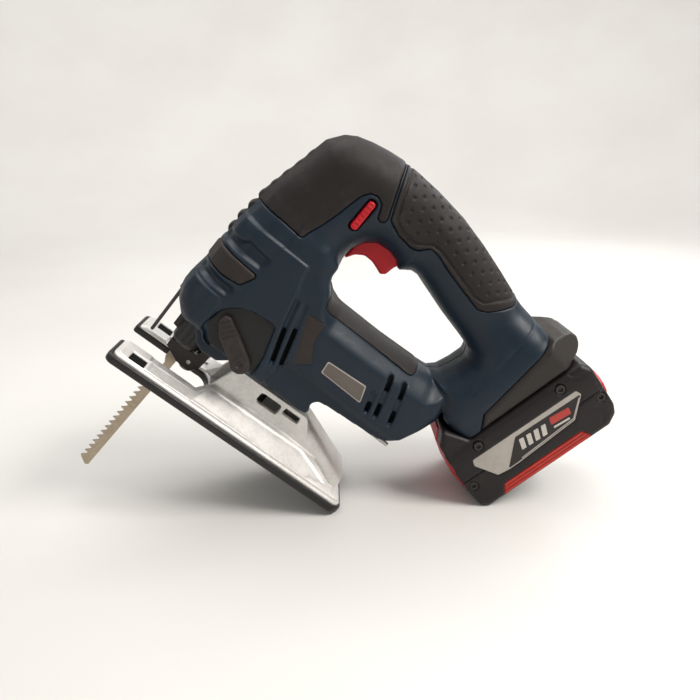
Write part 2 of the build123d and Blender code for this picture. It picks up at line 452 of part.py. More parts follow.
nodes["battery_labels"] = pack_place(group(label.solids()))
bs = []
for sv, su in screw_spots:
    s = cy(3.1, -BATT_HW + 0.7, -BATT_HW + 2.5, sv, su) - Pos(sv, -BATT_HW + 0.7, su) * Rot(90, 0, 0) * extrude(RegularPolygon(1.7, 6), amount=1.2, both=True)
    bs.append(s)
nodes["battery_screws"] = pack_place(group(bs))
cells = []
for i in range(5):
    for j in range(2):
        cells.append(cy(9.0, -32.5, 32.5, -36.5 + j * 18.6 + 2.0, 10 + i * 18.7))
nodes["battery_cells"] = pack_place(group(cells))
button = sym([(-63.8, -0.6), (-58.3, -6.2), (-51.0, -7.6), (-51.0, -1.5), (-57.5, -0.2), (-60.2, 1.8), (-63.8, 1.8)], 20)
nodes["battery_release_button"] = pack_place(button)

# ---------------------------------------------------------------------------
# park the tool and write the pieces
# ---------------------------------------------------------------------------
tipped = {}
for name, shape in nodes.items():
    tipped[name] = Rot(0, PARK_TILT, 0) * shape
bbs = [s.bounding_box() for s in tipped.values()]
x0 = min(b.min.X for b in bbs)
x1 = max(b.max.X for b in bbs)
y0 = min(b.min.Y for b in bbs)
y1 = max(b.max.Y for b in bbs)
z0 = min(b.min.Z for b in bbs)
z1 = max(b.max.Z for b in bbs)
SHIFT = (-(x0 + x1) / 2, -(y0 + y1) / 2, -z0)
print("shift", SHIFT, "size", x1 - x0, y1 - y0, z1 - z0)

os.makedirs("parts", exist_ok=True)
for name, shape in tipped.items():
    export_step(Pos(*SHIFT) * shape, f"parts/{name}.step")
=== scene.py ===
import json
import math
import bpy
import numpy as np
from mathutils import Matrix, Vector


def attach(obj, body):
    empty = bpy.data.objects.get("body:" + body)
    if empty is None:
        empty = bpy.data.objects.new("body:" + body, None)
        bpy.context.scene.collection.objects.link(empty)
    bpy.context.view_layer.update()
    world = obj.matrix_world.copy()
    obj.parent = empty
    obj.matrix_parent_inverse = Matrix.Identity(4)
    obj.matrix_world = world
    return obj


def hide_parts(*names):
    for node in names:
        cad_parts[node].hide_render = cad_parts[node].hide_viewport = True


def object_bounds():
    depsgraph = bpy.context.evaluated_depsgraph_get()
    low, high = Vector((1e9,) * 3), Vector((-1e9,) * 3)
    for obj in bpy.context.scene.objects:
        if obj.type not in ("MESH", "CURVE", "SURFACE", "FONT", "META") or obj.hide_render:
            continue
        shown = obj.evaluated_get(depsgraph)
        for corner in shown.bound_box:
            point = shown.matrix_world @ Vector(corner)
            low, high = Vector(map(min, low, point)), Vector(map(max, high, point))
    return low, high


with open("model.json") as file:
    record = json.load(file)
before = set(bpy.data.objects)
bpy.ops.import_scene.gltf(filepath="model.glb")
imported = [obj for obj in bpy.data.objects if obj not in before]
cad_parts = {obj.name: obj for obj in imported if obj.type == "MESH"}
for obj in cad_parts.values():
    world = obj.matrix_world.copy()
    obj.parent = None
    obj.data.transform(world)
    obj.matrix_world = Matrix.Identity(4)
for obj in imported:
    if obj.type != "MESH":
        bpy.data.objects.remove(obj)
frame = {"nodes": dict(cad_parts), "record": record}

CAD_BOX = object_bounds()
NODES = frame["nodes"]

# ---------------------------------------------------------------- frame
# Shapes are worked out in the tool's own axes, in millimetres: x to the
# battery, y away from the camera, z up from the sole.  The object is parked
# tilted, so everything goes through row() into the shared frame, in metres.
TILT = math.radians(41.0)
CT, ST = math.cos(TILT), math.sin(TILT)
SPIN = [j for j in frame["record"]["behaviour"]["joints"] if j["name"] == "motor_spin"][0]
SHX = SPIN["pos_m"][0] * 1000.0 - (80.0 * CT + 81.9 * ST)
SHZ = SPIN["pos_m"][2] * 1000.0 - (-80.0 * ST + 81.9 * CT)


def row(p):
    p = np.asarray(p, float)
    o = np.empty_like(p)
    o[..., 0] = p[..., 0] * CT + p[..., 2] * ST + SHX
    o[..., 1] = p[..., 1]
    o[..., 2] = -p[..., 0] * ST + p[..., 2] * CT + SHZ
    return o / 1000.0


def turn(d):
    return Vector((d[0] * CT + d[2] * ST, d[1], -d[0] * ST + d[2] * CT))


# ---------------------------------------------------------------- fields
def sstep(t, a, b):
    t = np.clip((t - a) / (b - a), 0.0, 1.0)
    return t * t * (3.0 - 2.0 * t)


def smin(a, b, k):
    h = np.clip(0.5 + 0.5 * (b - a) / k, 0.0, 1.0)
    return b * (1.0 - h) + a * h - k * h * (1.0 - h)


def smax(a, b, k):
    return -smin(-a, -b, k)


def fil(pts, r, n=6):
    """Polygon with its corners turned into arcs of radius r (one or a list)."""
    out = []
    m = len(pts)
    for i in range(m):
        p, a, b = (np.array(pts[j % m], float) for j in (i, i - 1, i + 1))
        rr = r[i] if isinstance(r, (list, tuple)) else r
        u, v = a - p, b - p
        lu, lv = np.hypot(*u), np.hypot(*v)
        u, v = u / lu, v / lv
        ang = math.acos(max(-1.0, min(1.0, float(u @ v))))
        if rr <= 0 or ang > math.pi - 0.03 or ang < 0.03:
            out.append(p)
            continue
        t = min(rr / math.tan(ang / 2), 0.47 * lu, 0.47 * lv)
        rad = t * math.tan(ang / 2)
        w = u + v
        c = p + w / np.hypot(*w) * rad / math.sin(ang / 2)
        p1, p2 = p + u * t - c, p + v * t - c
        a1, a2 = math.atan2(p1[1], p1[0]), math.atan2(p2[1], p2[0])
        d = (a2 - a1 + math.pi) % (2 * math.pi) - math.pi
        for k in range(n + 1):
            th = a1 + d * k / n
            out.append(c + rad * np.array([math.cos(th), math.sin(th)]))
    return np.array(out)


def poly(pts, x, z):
    """Signed distance to a polygon, negative inside."""
    pts = np.asarray(pts, float)
    x, z = np.broadcast_arrays(x, z)
    best = np.full(x.shape, 1e18)
    inside = np.zeros(x.shape, bool)
    for i in range(len(pts)):
        ax, az = pts[i - 1]
        bx, bz = pts[i]
        ex, ez = bx - ax, bz - az
        ll = ex * ex + ez * ez
        if ll < 1e-12:
            continue
        wx, wz = x - ax, z - az
        t = np.clip((wx * ex + wz * ez) / ll, 0.0, 1.0)
        best = np.minimum(best, (wx - t * ex) ** 2 + (wz - t * ez) ** 2)
        if ez != 0.0:
            cross = (az > z) != (bz > z)
            inside ^= cross & (x < ax + (z - az) * ex / ez)
    d = np.sqrt(best)
    return np.where(inside, -d, d)


def line(pts, x, z):
    """Distance to an open polyline."""
    best = None
    for (ax, az), (bx, bz) in zip(pts[:-1], pts[1:]):
        ex, ez = bx - ax, bz - az
        wx, wz = x - ax, z - az
        t = np.clip((wx * ex + wz * ez) / (ex * ex + ez * ez), 0.0, 1.0)
        d = (wx - t * ex) ** 2 + (wz - t * ez) ** 2
        best = d if best is None else np.minimum(best, d)
    return np.sqrt(best)


def rext(d2, y, w, r):
    """Section d2 pulled out to |y| = w with edges of radius r."""
    a = d2 + r
    b = np.abs(y) - w + r
    return np.hypot(np.maximum(a, 0.0), np.maximum(b, 0.0)) + np.minimum(np.maximum(a, b), 0.0) - r


def band(y, a, b):
    return np.maximum(a - y, y - b)


def box2(x, z, x0, x1, z0, z1):
    return np.maximum(band(x, x0, x1), band(z, z0, z1))


class Grid:
    """Sample points of a box.  X and Z have shape (nx,1,nz), Y has (1,ny,1)."""

    def __init__(self, x0, x1, y0, y1, z0, z1, h):
        self.x = np.arange(x0, x1 + h, h)
        self.y = np.arange(y0, y1 + h, h)
        self.z = np.arange(z0, z1 + h, h)
        self.X = self.x[:, None, None]
        self.Y = self.y[None, :, None]
        self.Z = self.z[None, None, :]
        self.h = h
        self.shape = (len(self.x), len(self.y), len(self.z))

    def poly(self, pts):
        return poly(pts, self.X[:, 0, :], self.Z[:, 0, :])[:, None, :]


CORNER = np.array([(i, j, k) for i in (0, 1) for j in (0, 1) for k in (0, 1)])
EDGES = [(a, b) for a in range(8) for b in range(a + 1, 8) if np.abs(CORNER[a] - CORNER[b]).sum() == 1]


def nets(f, g):
    """Surface net of f = 0 over the grid: vertices in mm, quads facing out."""
    f = np.ascontiguousarray(np.broadcast_to(f, g.shape))
    s = f < 0
    n = np.zeros(tuple(v - 1 for v in g.shape), np.int8)
    for i, j, k in CORNER:
        n += s[i:g.shape[0] - 1 + i, j:g.shape[1] - 1 + j, k:g.shape[2] - 1 + k]
    cells = np.argwhere((n > 0) & (n < 8))
    idx = np.full(n.shape, -1, np.int64)
    idx[tuple(cells.T)] = np.arange(len(cells))
    val = np.stack([f[tuple((cells + c).T)] for c in CORNER], 1)
    acc = np.zeros((len(cells), 3))
    cnt = np.zeros(len(cells))
    for a, b in EDGES:
        va, vb = val[:, a], val[:, b]
        m = (va < 0) != (vb < 0)
        t = va[m] / (va[m] - vb[m])
        acc[m] += CORNER[a] + t[:, None] * (CORNER[b] - CORNER[a])
        cnt[m] += 1
    p = cells + acc / cnt[:, None]

    def sample(q):
        q = np.clip(q, 0, np.array(g.shape) - 1.001)
        b = q.astype(int)
        t = q - b
        v = 0
        for i, j, k in CORNER:
            w = (t[:, 0] if i else 1 - t[:, 0]) * (t[:, 1] if j else 1 - t[:, 1]) * (t[:, 2] if k else 1 - t[:, 2])
            v = v + w * f[b[:, 0] + i, b[:, 1] + j, b[:, 2] + k]
        return v

    e = 0.5
    for _ in range(2):
        gr = np.stack([(sample(p + np.eye(3)[a] * e) - sample(p - np.eye(3)[a] * e)) / (2 * e) for a in range(3)], 1)
        l2 = np.maximum((gr ** 2).sum(1), 1e-9)
        step = -(sample(p) / l2)[:, None] * gr
        ln = np.sqrt((step ** 2).sum(1))
        p = p + step * np.minimum(1.0, 0.5 / np.maximum(ln, 1e-9))[:, None] * 0.9
    quads = []
    for ax in range(3):
        b, c = [(1, 2), (2, 0), (0, 1)][ax]
        lo = [slice(None)] * 3
        hi = [slice(None)] * 3
        lo[ax], hi[ax] = slice(0, -1), slice(1, None)
        for w in (b, c):
            lo[w] = hi[w] = slice(1, -1)
        A, B = s[tuple(lo)], s[tuple(hi)]
        e = np.argwhere(A != B)
        off = np.zeros(3, int)
        off[b] = off[c] = 1
        at = e + off
        inner = A[tuple(e.T)]
        ub, uc = np.eye(3, dtype=int)[b], np.eye(3, dtype=int)[c]
        q = np.stack([idx[tuple((at - ub - uc).T)], idx[tuple((at - uc).T)], idx[tuple(at.T)], idx[tuple((at - ub).T)]], 1)
        q[~inner] = q[~inner][:, ::-1]
        quads.append(q)
    quads = np.concatenate(quads)
    quads = quads[(quads >= 0).all(1)]
    v = np.stack([g.x[0] + p[:, 0] * g.h, g.y[0] + p[:, 1] * g.h, g.z[0] + p[:, 2] * g.h], 1)
    return v, quads


def mesh(name, v, faces, mats, body, nodes=(), pick=None, smooth=True, keep=1.0, attr=True):
    """v in tool millimetres -> an object in the row frame that rides on body."""
    me = bpy.data.meshes.new(name)
    w = row(v)
    if isinstance(faces, np.ndarray):
        me.vertices.add(len(w))
        me.vertices.foreach_set("co", w.astype(np.float32).ravel())
        k = faces.shape[1]
        me.loops.add(faces.size)
        me.loops.foreach_set("vertex_index", faces.astype(np.int32).ravel())
        me.polygons.add(len(faces))
        me.polygons.foreach_set("loop_start", np.arange(0, faces.size, k, dtype=np.int32))
        me.polygons.foreach_set("loop_total", np.full(len(faces), k, np.int32))
        me.update(calc_edges=True)
        if pick is not None:
            me.polygons.foreach_set("material_index", pick(v[faces].mean(1)).astype(np.int32))
    else:
        me.from_pydata([tuple(p) for p in w], [], faces)
    me.validate()
    me.update()
    me.polygons.foreach_set("use_smooth", np.full(len(me.polygons), smooth))
    for m in mats:
        me.materials.append(m)
    o = bpy.data.objects.new(name, me)
    bpy.context.scene.collection.objects.link(o)
    if keep < 1.0:
        d = o.modifiers.new("thin", "DECIMATE")
        d.ratio = keep
        dg = bpy.context.evaluated_depsgraph_get()
        fresh = bpy.data.meshes.new_from_object(o.evaluated_get(dg))
        o.modifiers.clear()
        o.data = fresh
        bpy.data.meshes.remove(me)
        fresh.name = name
        me = fresh
    if attr:
        edge_attr(me)
    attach(o, body)
    if nodes:
        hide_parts(*nodes)
    return o


def edge_attr(me):
    """Vertex attribute 'rim': above 0.5 on outer edges, below in hollows."""
    n = len(me.vertices)
    co = np.empty(n * 3, np.float32)
    me.vertices.foreach_get("co", co)
    co = co.reshape(-1, 3)
    no = np.empty(n * 3, np.float32)
    me.vertices.foreach_get("normal", no)
    no = no.reshape(-1, 3)
    ed = np.empty(len(me.edges) * 2, np.int32)
    me.edges.foreach_get("vertices", ed)
    ed = ed.reshape(-1, 2)
    d = co[ed[:, 1]] - co[ed[:, 0]]
    ln = np.maximum(np.sqrt((d ** 2).sum(1)), 1e-9)
    c = ((no[ed[:, 1]] - no[ed[:, 0]]) * d).sum(1) / (ln * ln)
    s = np.zeros(n)
    w = np.zeros(n)
    for a in (0, 1):
        np.add.at(s, ed[:, a], c)
        np.add.at(w, ed[:, a], 1.0)
    s = s / np.maximum(w, 1)
    for _ in range(2):
        t = s.copy()
        u = np.ones(n)
        np.add.at(t, ed[:, 0], s[ed[:, 1]])
        np.add.at(t, ed[:, 1], s[ed[:, 0]])
        np.add.at(u, ed[:, 0], 1.0)
        np.add.at(u, ed[:, 1], 1.0)
        s = t / u
    a = me.attributes.new("rim", "FLOAT", "POINT")
    a.data.foreach_set("value", np.clip(0.5 + s / 1600.0, 0.0, 1.0).astype(np.float32))


# ---------------------------------------------------------------- materials
class Tree:
    def __init__(self, name):
        self.mat = bpy.data.materials.new(name)
        self.mat.use_nodes = True
        self.t = self.mat.node_tree
        for n in list(self.t.nodes):
            self.t.nodes.remove(n)
        self.out = self.t.nodes.new("ShaderNodeOutputMaterial")
        self.bsdf = self.t.nodes.new("ShaderNodeBsdfPrincipled")
        self.t.links.new(self.bsdf.outputs["BSDF"], self.out.inputs["Surface"])

    def put(self, sock, v):
        if isinstance(v, bpy.types.NodeSocket):
            self.t.links.new(v, sock)
        elif isinstance(v, (tuple, list)) and len(v) == 3 and sock.type == "RGBA":
            sock.default_value = (*v, 1.0)
        else:
            sock.default_value = v

    def coord(self):
        if not hasattr(self, "_c"):
            self._c = self.t.nodes.new("ShaderNodeTexCoord").outputs["Object"]
        return self._c

    def mapped(self, scale=(1, 1, 1), rot=(0, 0, 0)):
        n = self.t.nodes.new("ShaderNodeMapping")
        n.inputs["Scale"].default_value = scale
        n.inputs["Rotation"].default_value = rot
        self.put(n.inputs["Vector"], self.coord())
        return n.outputs["Vector"]

    def noise(self, scale, detail=4.0, rough=0.55, vec=None, dist=0.0):
        n = self.t.nodes.new("ShaderNodeTexNoise")
        n.inputs["Scale"].default_value = scale
        n.inputs["Detail"].default_value = detail
        n.inputs["Roughness"].default_value = rough
        n.inputs["Distortion"].default_value = dist
        self.put(n.inputs["Vector"], vec if vec is not None else self.coord())
        return n.outputs["Fac"]

    def voronoi(self, scale, feature="F1", vec=None):
        n = self.t.nodes.new("ShaderNodeTexVoronoi")
        n.feature = feature
        n.inputs["Scale"].default_value = scale
        self.put(n.inputs["Vector"], vec if vec is not None else self.coord())
        return n.outputs["Distance"]

    def ramp(self, fac, stops):
        n = self.t.nodes.new("ShaderNodeValToRGB")
        e = n.color_ramp.elements
        while len(e) < len(stops):
            e.new(0.5)
        for i, (p, c) in enumerate(stops):
            e[i].position = p
            e[i].color = (*c, 1.0) if len(c) == 3 else c
        self.put(n.inputs["Fac"], fac)
        return n.outputs["Color"]

    def rng(self, v, a, b, c, d):
        n = self.t.nodes.new("ShaderNodeMapRange")
        for i, x in enumerate((a, b, c, d)):
            n.inputs[1 + i].default_value = x
        self.put(n.inputs["Value"], v)
        return n.outputs["Result"]

    def math(self, op, a, b=0.0):
        n = self.t.nodes.new("ShaderNodeMath")
        n.operation = op
        self.put(n.inputs[0], a)
        self.put(n.inputs[1], b)
        return n.outputs[0]

    def mix(self, fac, a, b, mode="MIX"):
        n = self.t.nodes.new("ShaderNodeMix")
        n.data_type = "RGBA"
        n.blend_type = mode
        self.put(n.inputs["Factor"], fac)
        self.put([i for i in n.inputs if i.name == "A" and i.type == "RGBA"][0], a)
        self.put([i for i in n.inputs if i.name == "B" and i.type == "RGBA"][0], b)
        return [o for o in n.outputs if o.type == "RGBA"][0]

    def attr(self, name):
        n = self.t.nodes.new("ShaderNodeAttribute")
        n.attribute_name = name
        return n.outputs["Fac"]

    def bump(self, height, strength=0.3, dist=0.0002, normal=None):
        n = self.t.nodes.new("ShaderNodeBump")
        n.inputs["Strength"].default_value = strength
        n.inputs["Distance"].default_value = dist
        self.put(n.inputs["Height"], height)
        if normal is not None:
            self.put(n.inputs["Normal"], normal)
        return n.outputs["Normal"]

    def bevel(self, r):
        n = self.t.nodes.new("ShaderNodeBevel")
        n.samples = 4
        n.inputs["Radius"].default_value = r
        return n.outputs["Normal"]

    def set(self, **kw):
        for k, v in kw.items():
            self.put(self.bsdf.inputs[k.replace("_", " ").title().replace("Ior", "IOR")], v)
        return self.mat


def plastic(name, base, rough=0.42, grain=0.25, lift=1.35, dust=0.06, bevel=None, spec=0.5, coat=0.0, sheen=0.0, scale=1.0):
    """Moulded plastic or rubber: two-tone mottle, erosion grain, worn rims, dust in hollows."""
    m = Tree(name)
    big = m.noise(34.0, 3.0, 0.5)
    mid = m.noise(260.0, 4.0, 0.6)
    fine = m.noise(1500.0 * scale, 3.0, 0.6)
    pits = m.voronoi(2300.0 * scale)
    b = np.array(base)
    col = m.ramp(m.math("ADD", m.math("MULTIPLY", big, 0.6), m.math("MULTIPLY", mid, 0.4)),
                 [(0.32, tuple(b * 0.82)), (0.55, tuple(b)), (0.75, tuple(np.minimum(b * 1.16 + 0.001, 1)))])
    rim = m.attr("rim")
    worn = m.math("MULTIPLY", m.rng(rim, 0.56, 0.95, 0.0, 1.0), m.rng(mid, 0.35, 0.7, 0.35, 1.0))
    col = m.mix(m.math("MULTIPLY", worn, 0.6), col, tuple(np.minimum(b * lift + 0.012, 1)))
    low = m.rng(rim, 0.44, 0.1, 0.0, 1.0)
    dusty = m.math("ADD", m.math("MULTIPLY", low, 0.35), m.math("MULTIPLY", m.rng(m.noise(95.0, 6.0, 0.7), 0.56, 0.8, 0.0, 1.0), 1.0))
    col = m.mix(m.math("MULTIPLY", dusty, dust), col, (0.30, 0.26, 0.21))
    rg = m.math("ADD", m.rng(mid, 0.3, 0.7, rough - 0.06, rough + 0.08), m.math("MULTIPLY", worn, -0.08))
    h = m.math("ADD", m.math("MULTIPLY", fine, 0.6), m.math("MULTIPLY", pits, 0.7))
    nrm = m.bump(h, grain, 0.00012, m.bevel(bevel) if bevel else None)
    m.set(base_color=col, roughness=rg, normal=nrm, specular_ior_level=spec)
    m.bsdf.inputs["Coat Weight"].default_value = coat
    m.bsdf.inputs["Coat Roughness"].default_value = 0.2
    m.bsdf.inputs["Sheen Weight"].default_value = sheen
    m.bsdf.inputs["Sheen Roughness"].default_value = 0.5
    return m.mat


def metal(name, base, rough=0.32, grain=0.2, brush=None, bevel=0.0004, tint=None, spots=0.0, rim=True, metallic=1.0):
    """Metal: uneven tone, fine scratches or blasting, brighter rims."""
    m = Tree(name)
    b = np.array(base)
    vec = m.mapped(brush) if brush else None
    big = m.noise(60.0, 4.0, 0.6)
    mid = m.noise(420.0, 5.0, 0.65)
    str_ = m.noise(900.0, 4.0, 0.6, vec)
    col = m.ramp(m.math("ADD", m.math("MULTIPLY", big, 0.5), m.math("MULTIPLY", mid, 0.5)),
                 [(0.3, tuple(b * 0.8)), (0.52, tuple(b)), (0.75, tuple(np.minimum(b * 1.1, 1)))])
    if tint is not None:
        col = m.mix(m.math("MULTIPLY", m.rng(m.noise(150.0, 6.0, 0.7), 0.5, 0.8, 0.0, 1.0), spots), col, tint)
    if rim:
        r = m.attr("rim")
        col = m.mix(m.math("MULTIPLY", m.rng(r, 0.6, 0.95, 0.0, 1.0), 0.5), col, tuple(np.minimum(b * 1.25 + 0.05, 1)))
    rg = m.rng(m.math("ADD", m.math("MULTIPLY", str_, 0.6), m.math("MULTIPLY", mid, 0.4)), 0.3, 0.7, rough - 0.07, rough + 0.1)
    nrm = m.bump(m.math("ADD", str_, m.math("MULTIPLY", m.noise(2600.0, 2.0, 0.5), 0.5)), grain, 0.0001, m.bevel(bevel) if bevel else None)
    m.set(base_color=col, metallic=metallic, roughness=rg, normal=nrm)
    return m.mat


BLUE = plastic("casing_blue", (0.0050, 0.0142, 0.0262), 0.45, 0.16, 1.9, 0.015, spec=0.34)
# darker, greyer casing tone: painted shade in the recess under the selector
SCOOP = plastic("casing_painted_shade", (0.0070, 0.0075, 0.0090), 0.5, 0.3, 1.4, 0.04, spec=0.35)
RUBBER = plastic("soft_rubber", (0.0128, 0.0098, 0.0094), 0.60, 0.42, 1.5, 0.04, sheen=0.025, scale=0.8, spec=0.30)
BROWN = plastic("soft_insert", (0.0210, 0.0150, 0.0128), 0.60, 0.42, 1.5, 0.05, sheen=0.03, scale=0.8, spec=0.34)
MOUNT = plastic("mount_plastic", (0.0225, 0.0185, 0.0162), 0.50, 0.28, 1.4, 0.04, spec=0.36)
RED = plastic("red_plastic", (0.450, 0.0050, 0.0130), 0.38, 0.14, 1.3, 0.01, bevel=0.0005, spec=0.32)
PACK = plastic("pack_black", (0.0094, 0.0068, 0.0074), 0.48, 0.36, 1.7, 0.025, spec=0.32)
SOLE = plastic("sole_black", (0.0110, 0.0096, 0.0094), 0.36, 0.22, 1.7, 0.04, bevel=0.0012, spec=0.42)
LEVER = plastic("lever_dark", (0.0200, 0.0142, 0.0132), 0.45, 0.35, 1.6, 0.05, spec=0.4)
CLAMP = plastic("clamp_black", (0.0105, 0.0088, 0.0090), 0.38, 0.3, 1.7, 0.05, bevel=0.0005, spec=0.42)
# near-black that paints the shade in hollows, socket ends and behind the air slots
HOLE_SHADE = plastic("shadow_black", (0.0030, 0.0030, 0.0034), 0.8, 0.3, 1.2, 0.01, spec=0.15)
FIELD = plastic("label_black", (0.0120, 0.0100, 0.0108), 0.34, 0.08, 1.1, 0.02, spec=0.35)
LRED = plastic("label_red", (0.420, 0.0420, 0.0300), 0.36, 0.08, 1.1, 0.02, spec=0.35)
STRIPE = plastic("stripe_red", (0.430, 0.0250, 0.0160), 0.38, 0.12, 1.2, 0.02, bevel=0.0003, spec=0.35)
PALE = plastic("label_pale", (0.560, 0.520, 0.480), 0.40, 0.08, 1.1, 0.03, spec=0.3)
CAST = metal("cast_aluminium", (0.74, 0.725, 0.70), 0.47, 0.35, None, 0.0004, (0.50, 0.48, 0.45), 0.35, metallic=0.55)
SILVER = plastic("plate_silver", (0.400, 0.365, 0.330), 0.38, 0.10, 1.1, 0.03, bevel=0.0002, spec=0.45)
GREY = plastic("plate_grey", (0.105, 0.088, 0.076), 0.36, 0.12, 1.2, 0.04, bevel=0.0002)
STEEL = metal("tool_steel", (0.46, 0.44, 0.42), 0.27, 0.15, (1.0, 1.0, 8.0), 0.0002, (0.20, 0.14, 0.09), 0.25, rim=False)
DARK = metal("dark_steel", (0.085, 0.080, 0.078), 0.36, 0.2, None, 0.0003, (0.05, 0.035, 0.025), 0.4, rim=False)
BLADE = metal("blade_steel", (0.41, 0.345, 0.265), 0.36, 0.3, (12.0, 1.0, 1.0), 0.00012, (0.26, 0.17, 0.09), 0.55, rim=False)
BEARING = metal("bearing_steel", (0.56, 0.56, 0.57), 0.18, 0.08, None, 0.0002, rim=False)
BRONZE = metal("bronze", (0.50, 0.32, 0.14), 0.32, 0.2, None, 0.0002, rim=False)
COPPER = metal("copper", (0.62, 0.24, 0.10), 0.3, 0.3, (1.0, 30.0, 1.0), 0.0002, rim=False)
LAMS = metal("laminations", (0.30, 0.30, 0.31), 0.4, 0.5, (60.0, 1.0, 1.0), 0.0002, rim=False)
MAGNET = plastic("magnet", (0.035, 0.035, 0.038), 0.55, 0.4, bevel=0.0003)
CARBON = plastic("carbon", (0.016, 0.016, 0.017), 0.6, 0.4, bevel=0.0003)
BOARD = plastic("board", (0.012, 0.085, 0.035), 0.4, 0.3, bevel=0.0002)
CELL = plastic("cell_sleeve", (0.03, 0.10, 0.16), 0.35, 0.1, bevel=0.0004)

BY_SLOT = {"casing_blue": BLUE, "soft_rubber": RUBBER, "mount_plastic": MOUNT, "red_plastic": RED, "pack_black": PACK,
           "sole_black": SOLE, "cast_aluminium": CAST, "plate_silver": SILVER, "tool_steel": STEEL, "dark_steel": DARK,
           "blade_steel": BLADE, "lever_dark": LEVER, "clamp_black": CLAMP, "bearing_steel": BEARING, "bronze": BRONZE,
           "copper": COPPER, "laminations": LAMS, "magnet": MAGNET, "carbon": CARBON, "board": BOARD, "cell_sleeve": CELL}

for part in frame["record"]["subparts"]:
    o = NODES[part["node"]]
    o.data.materials.clear()
    o.data.materials.append(BY_SLOT[part["material_slot"]])
NODES["battery_screws"].data.materials[0] = CLAMP

# ---------------------------------------------------------------- casing
LOW = fil([(9, 42.6), (5, 47.4), (0, 48.8), (-9, 48.4), (-16, 49.2), (-20.1, 51.6), (-22.4, 55.6), (-24.3, 61.6), (-24.6, 65.6), (-23.9, 71.3), (-22.4, 80.7), (-22.1, 94.3), (-21.8, 107.6),
           (-21.5, 116), (-19.8, 125), (-18.8, 133), (-17.6, 140), (36, 140), (46.2, 132), (46.5, 125), (48.9, 119.7), (53, 115.4),
           (58, 111.8), (64, 110.7), (101, 110.9), (133, 112.6), (142, 113.6), (157, 113.4), (163.0, 108), (165.0, 94.5), (153.3, 66.5),
           (146, 60), (139.8, 57.5), (101, 55.3), (92, 54.3), (89, 50), (93, 42), (30, 42)], 4.0)
BOW = fil([(-20.4, 118), (-18.8, 133), (-17.4, 141), (-14.6, 153.8), (-11.9, 163.5), (-9.4, 174.4), (-7.1, 184.5), (-1, 192.7), (6.7, 197.8),
           (16.2, 201.1), (26.4, 203.6), (36.1, 205.2), (50, 205.8), (66.9, 205.7), (89.2, 204), (111.5, 199.8), (132.6, 194.6),
           (148.8, 190.1), (158.5, 187.4), (166, 186.4), (176, 185.2), (204, 180), (204, 95.0), (166, 95.4), (158, 99), (150, 106), (140.6, 113.0),
           (148.1, 118.5), (152.1, 128.2), (154.4, 137.6), (151.7, 143), (142.6, 145.3), (120.9, 150), (91.2, 158.1), (86.1, 157.6),
           (79.4, 152.0), (76.6, 152.2), (73, 155.6), (66, 157.4), (57, 156.6), (50.6, 151.6), (47.0, 144), (46.3, 134), (46.5, 125), (42, 118)], 3.0)
FRONT_Z = [40, 48, 51.2, 55.4, 61.6, 65.6, 71.3, 80.7, 94.3, 107.6, 116, 125, 133, 141, 153.8, 163.5, 174.4, 184.5, 192.7, 210]
FRONT_X = [-14.0, -17.3, -20.1, -22.3, -24.2, -24.6, -23.9, -22.4, -22.1, -21.8, -21.5, -19.8, -18.8, -17.4, -14.6, -11.9, -9.4, -7.1, -1.0, 0.0]
HOOD = fil([(-40, 131.8), (-14, 132.1), (0.9, 132.7), (17, 132.0), (18.8, 137.8), (21.8, 145.4), (25.2, 157.4), (28, 169.9), (29.5, 174.3), (32, 177.7), (36.6, 179.3),
            (40.9, 177.4), (42.7, 173.8), (44.2, 169.9), (47.2, 168.8), (50.0, 171.0), (49.8, 173.4), (44.9, 185.0), (41.3, 195.3), (39.2, 204.2), (38.6, 225), (-40, 225)],
           [0, 2, 2, 2.0, 4, 6, 8, 6, 3, 3, 3, 3, 3, 2, 2, 1.2, 3, 6, 6, 6, 0, 0])
PADO = fil([(39.6, 225), (40.3, 204.5), (42.4, 195.7), (46.0, 185.5), (51.2, 173.7), (61.6, 169.8), (72.6, 169.0), (77.4, 170.6), (82.5, 176.2), (88.8, 176.4), (101.2, 172.9), (116, 169.9),
            (132.7, 166.7), (138.3, 169.4), (145.3, 176.8), (151.4, 184.0), (152.4, 190), (152.4, 225)], [0, 6, 6, 6, 3, 4, 4, 3, 4, 5, 6, 6, 3, 3, 5, 3, 2, 0])
PADI = fil([(43.6, 225), (43.8, 204), (49.0, 188), (54.4, 176.4), (61.8, 173.6), (71.8, 172.8), (75.6, 174.4), (81.8, 179.6), (88.3, 179.8), (124.8, 172.2), (132.0, 172.8), (137.6, 178.9), (147.8, 188.0),
            (148.4, 194), (148.4, 225)], [0, 6, 6, 3, 4, 4, 3, 4, 5, 6, 3, 4, 3, 2, 0])
STRIP = fil([(55.2, 108.2), (58.5, 106.2), (62, 105.2), (127.3, 105.5), (130.4, 106.6), (132.0, 110.1), (131.5, 121), (54.2, 121), (53.6, 112)], [2, 3, 3, 3, 3, 3, 0, 0, 3])
NOSE_PAD = fil([(-40, 98.6), (-3.9, 98.9), (9.4, 98.2), (10.3, 95.6), (5.4, 86.3), (-7.7, 84.6), (-40, 85.0)], [0, 0, 1.6, 1.6, 3, 3, 0])
MOTIF = fil([(47.9, 98.9), (61.6, 100.2), (61.9, 93.4), (63.4, 85.5), (71.4, 73.8), (62.3, 65.8)], [2, 2, 2, 2, 1.5, 2])
SCOOP1 = fil([(-40, 109.6), (-9.7, 109.6), (-5.7, 113.1), (11.8, 111.5), (12.4, 108.3), (9.6, 101.0), (-40, 100.2)], [0, 3, 3, 2.5, 2, 2, 0])
SCOOP2 = fil([(-40, 83.6), (3.6, 83.9), (6.4, 80.6), (3.4, 75.2), (-40, 74.9)], [0, 2, 2, 2, 0])
PLATE = fil([(79.2, 73.4), (78.0, 82.2), (108.1, 84.3), (112.6, 72.5)], 1.0)
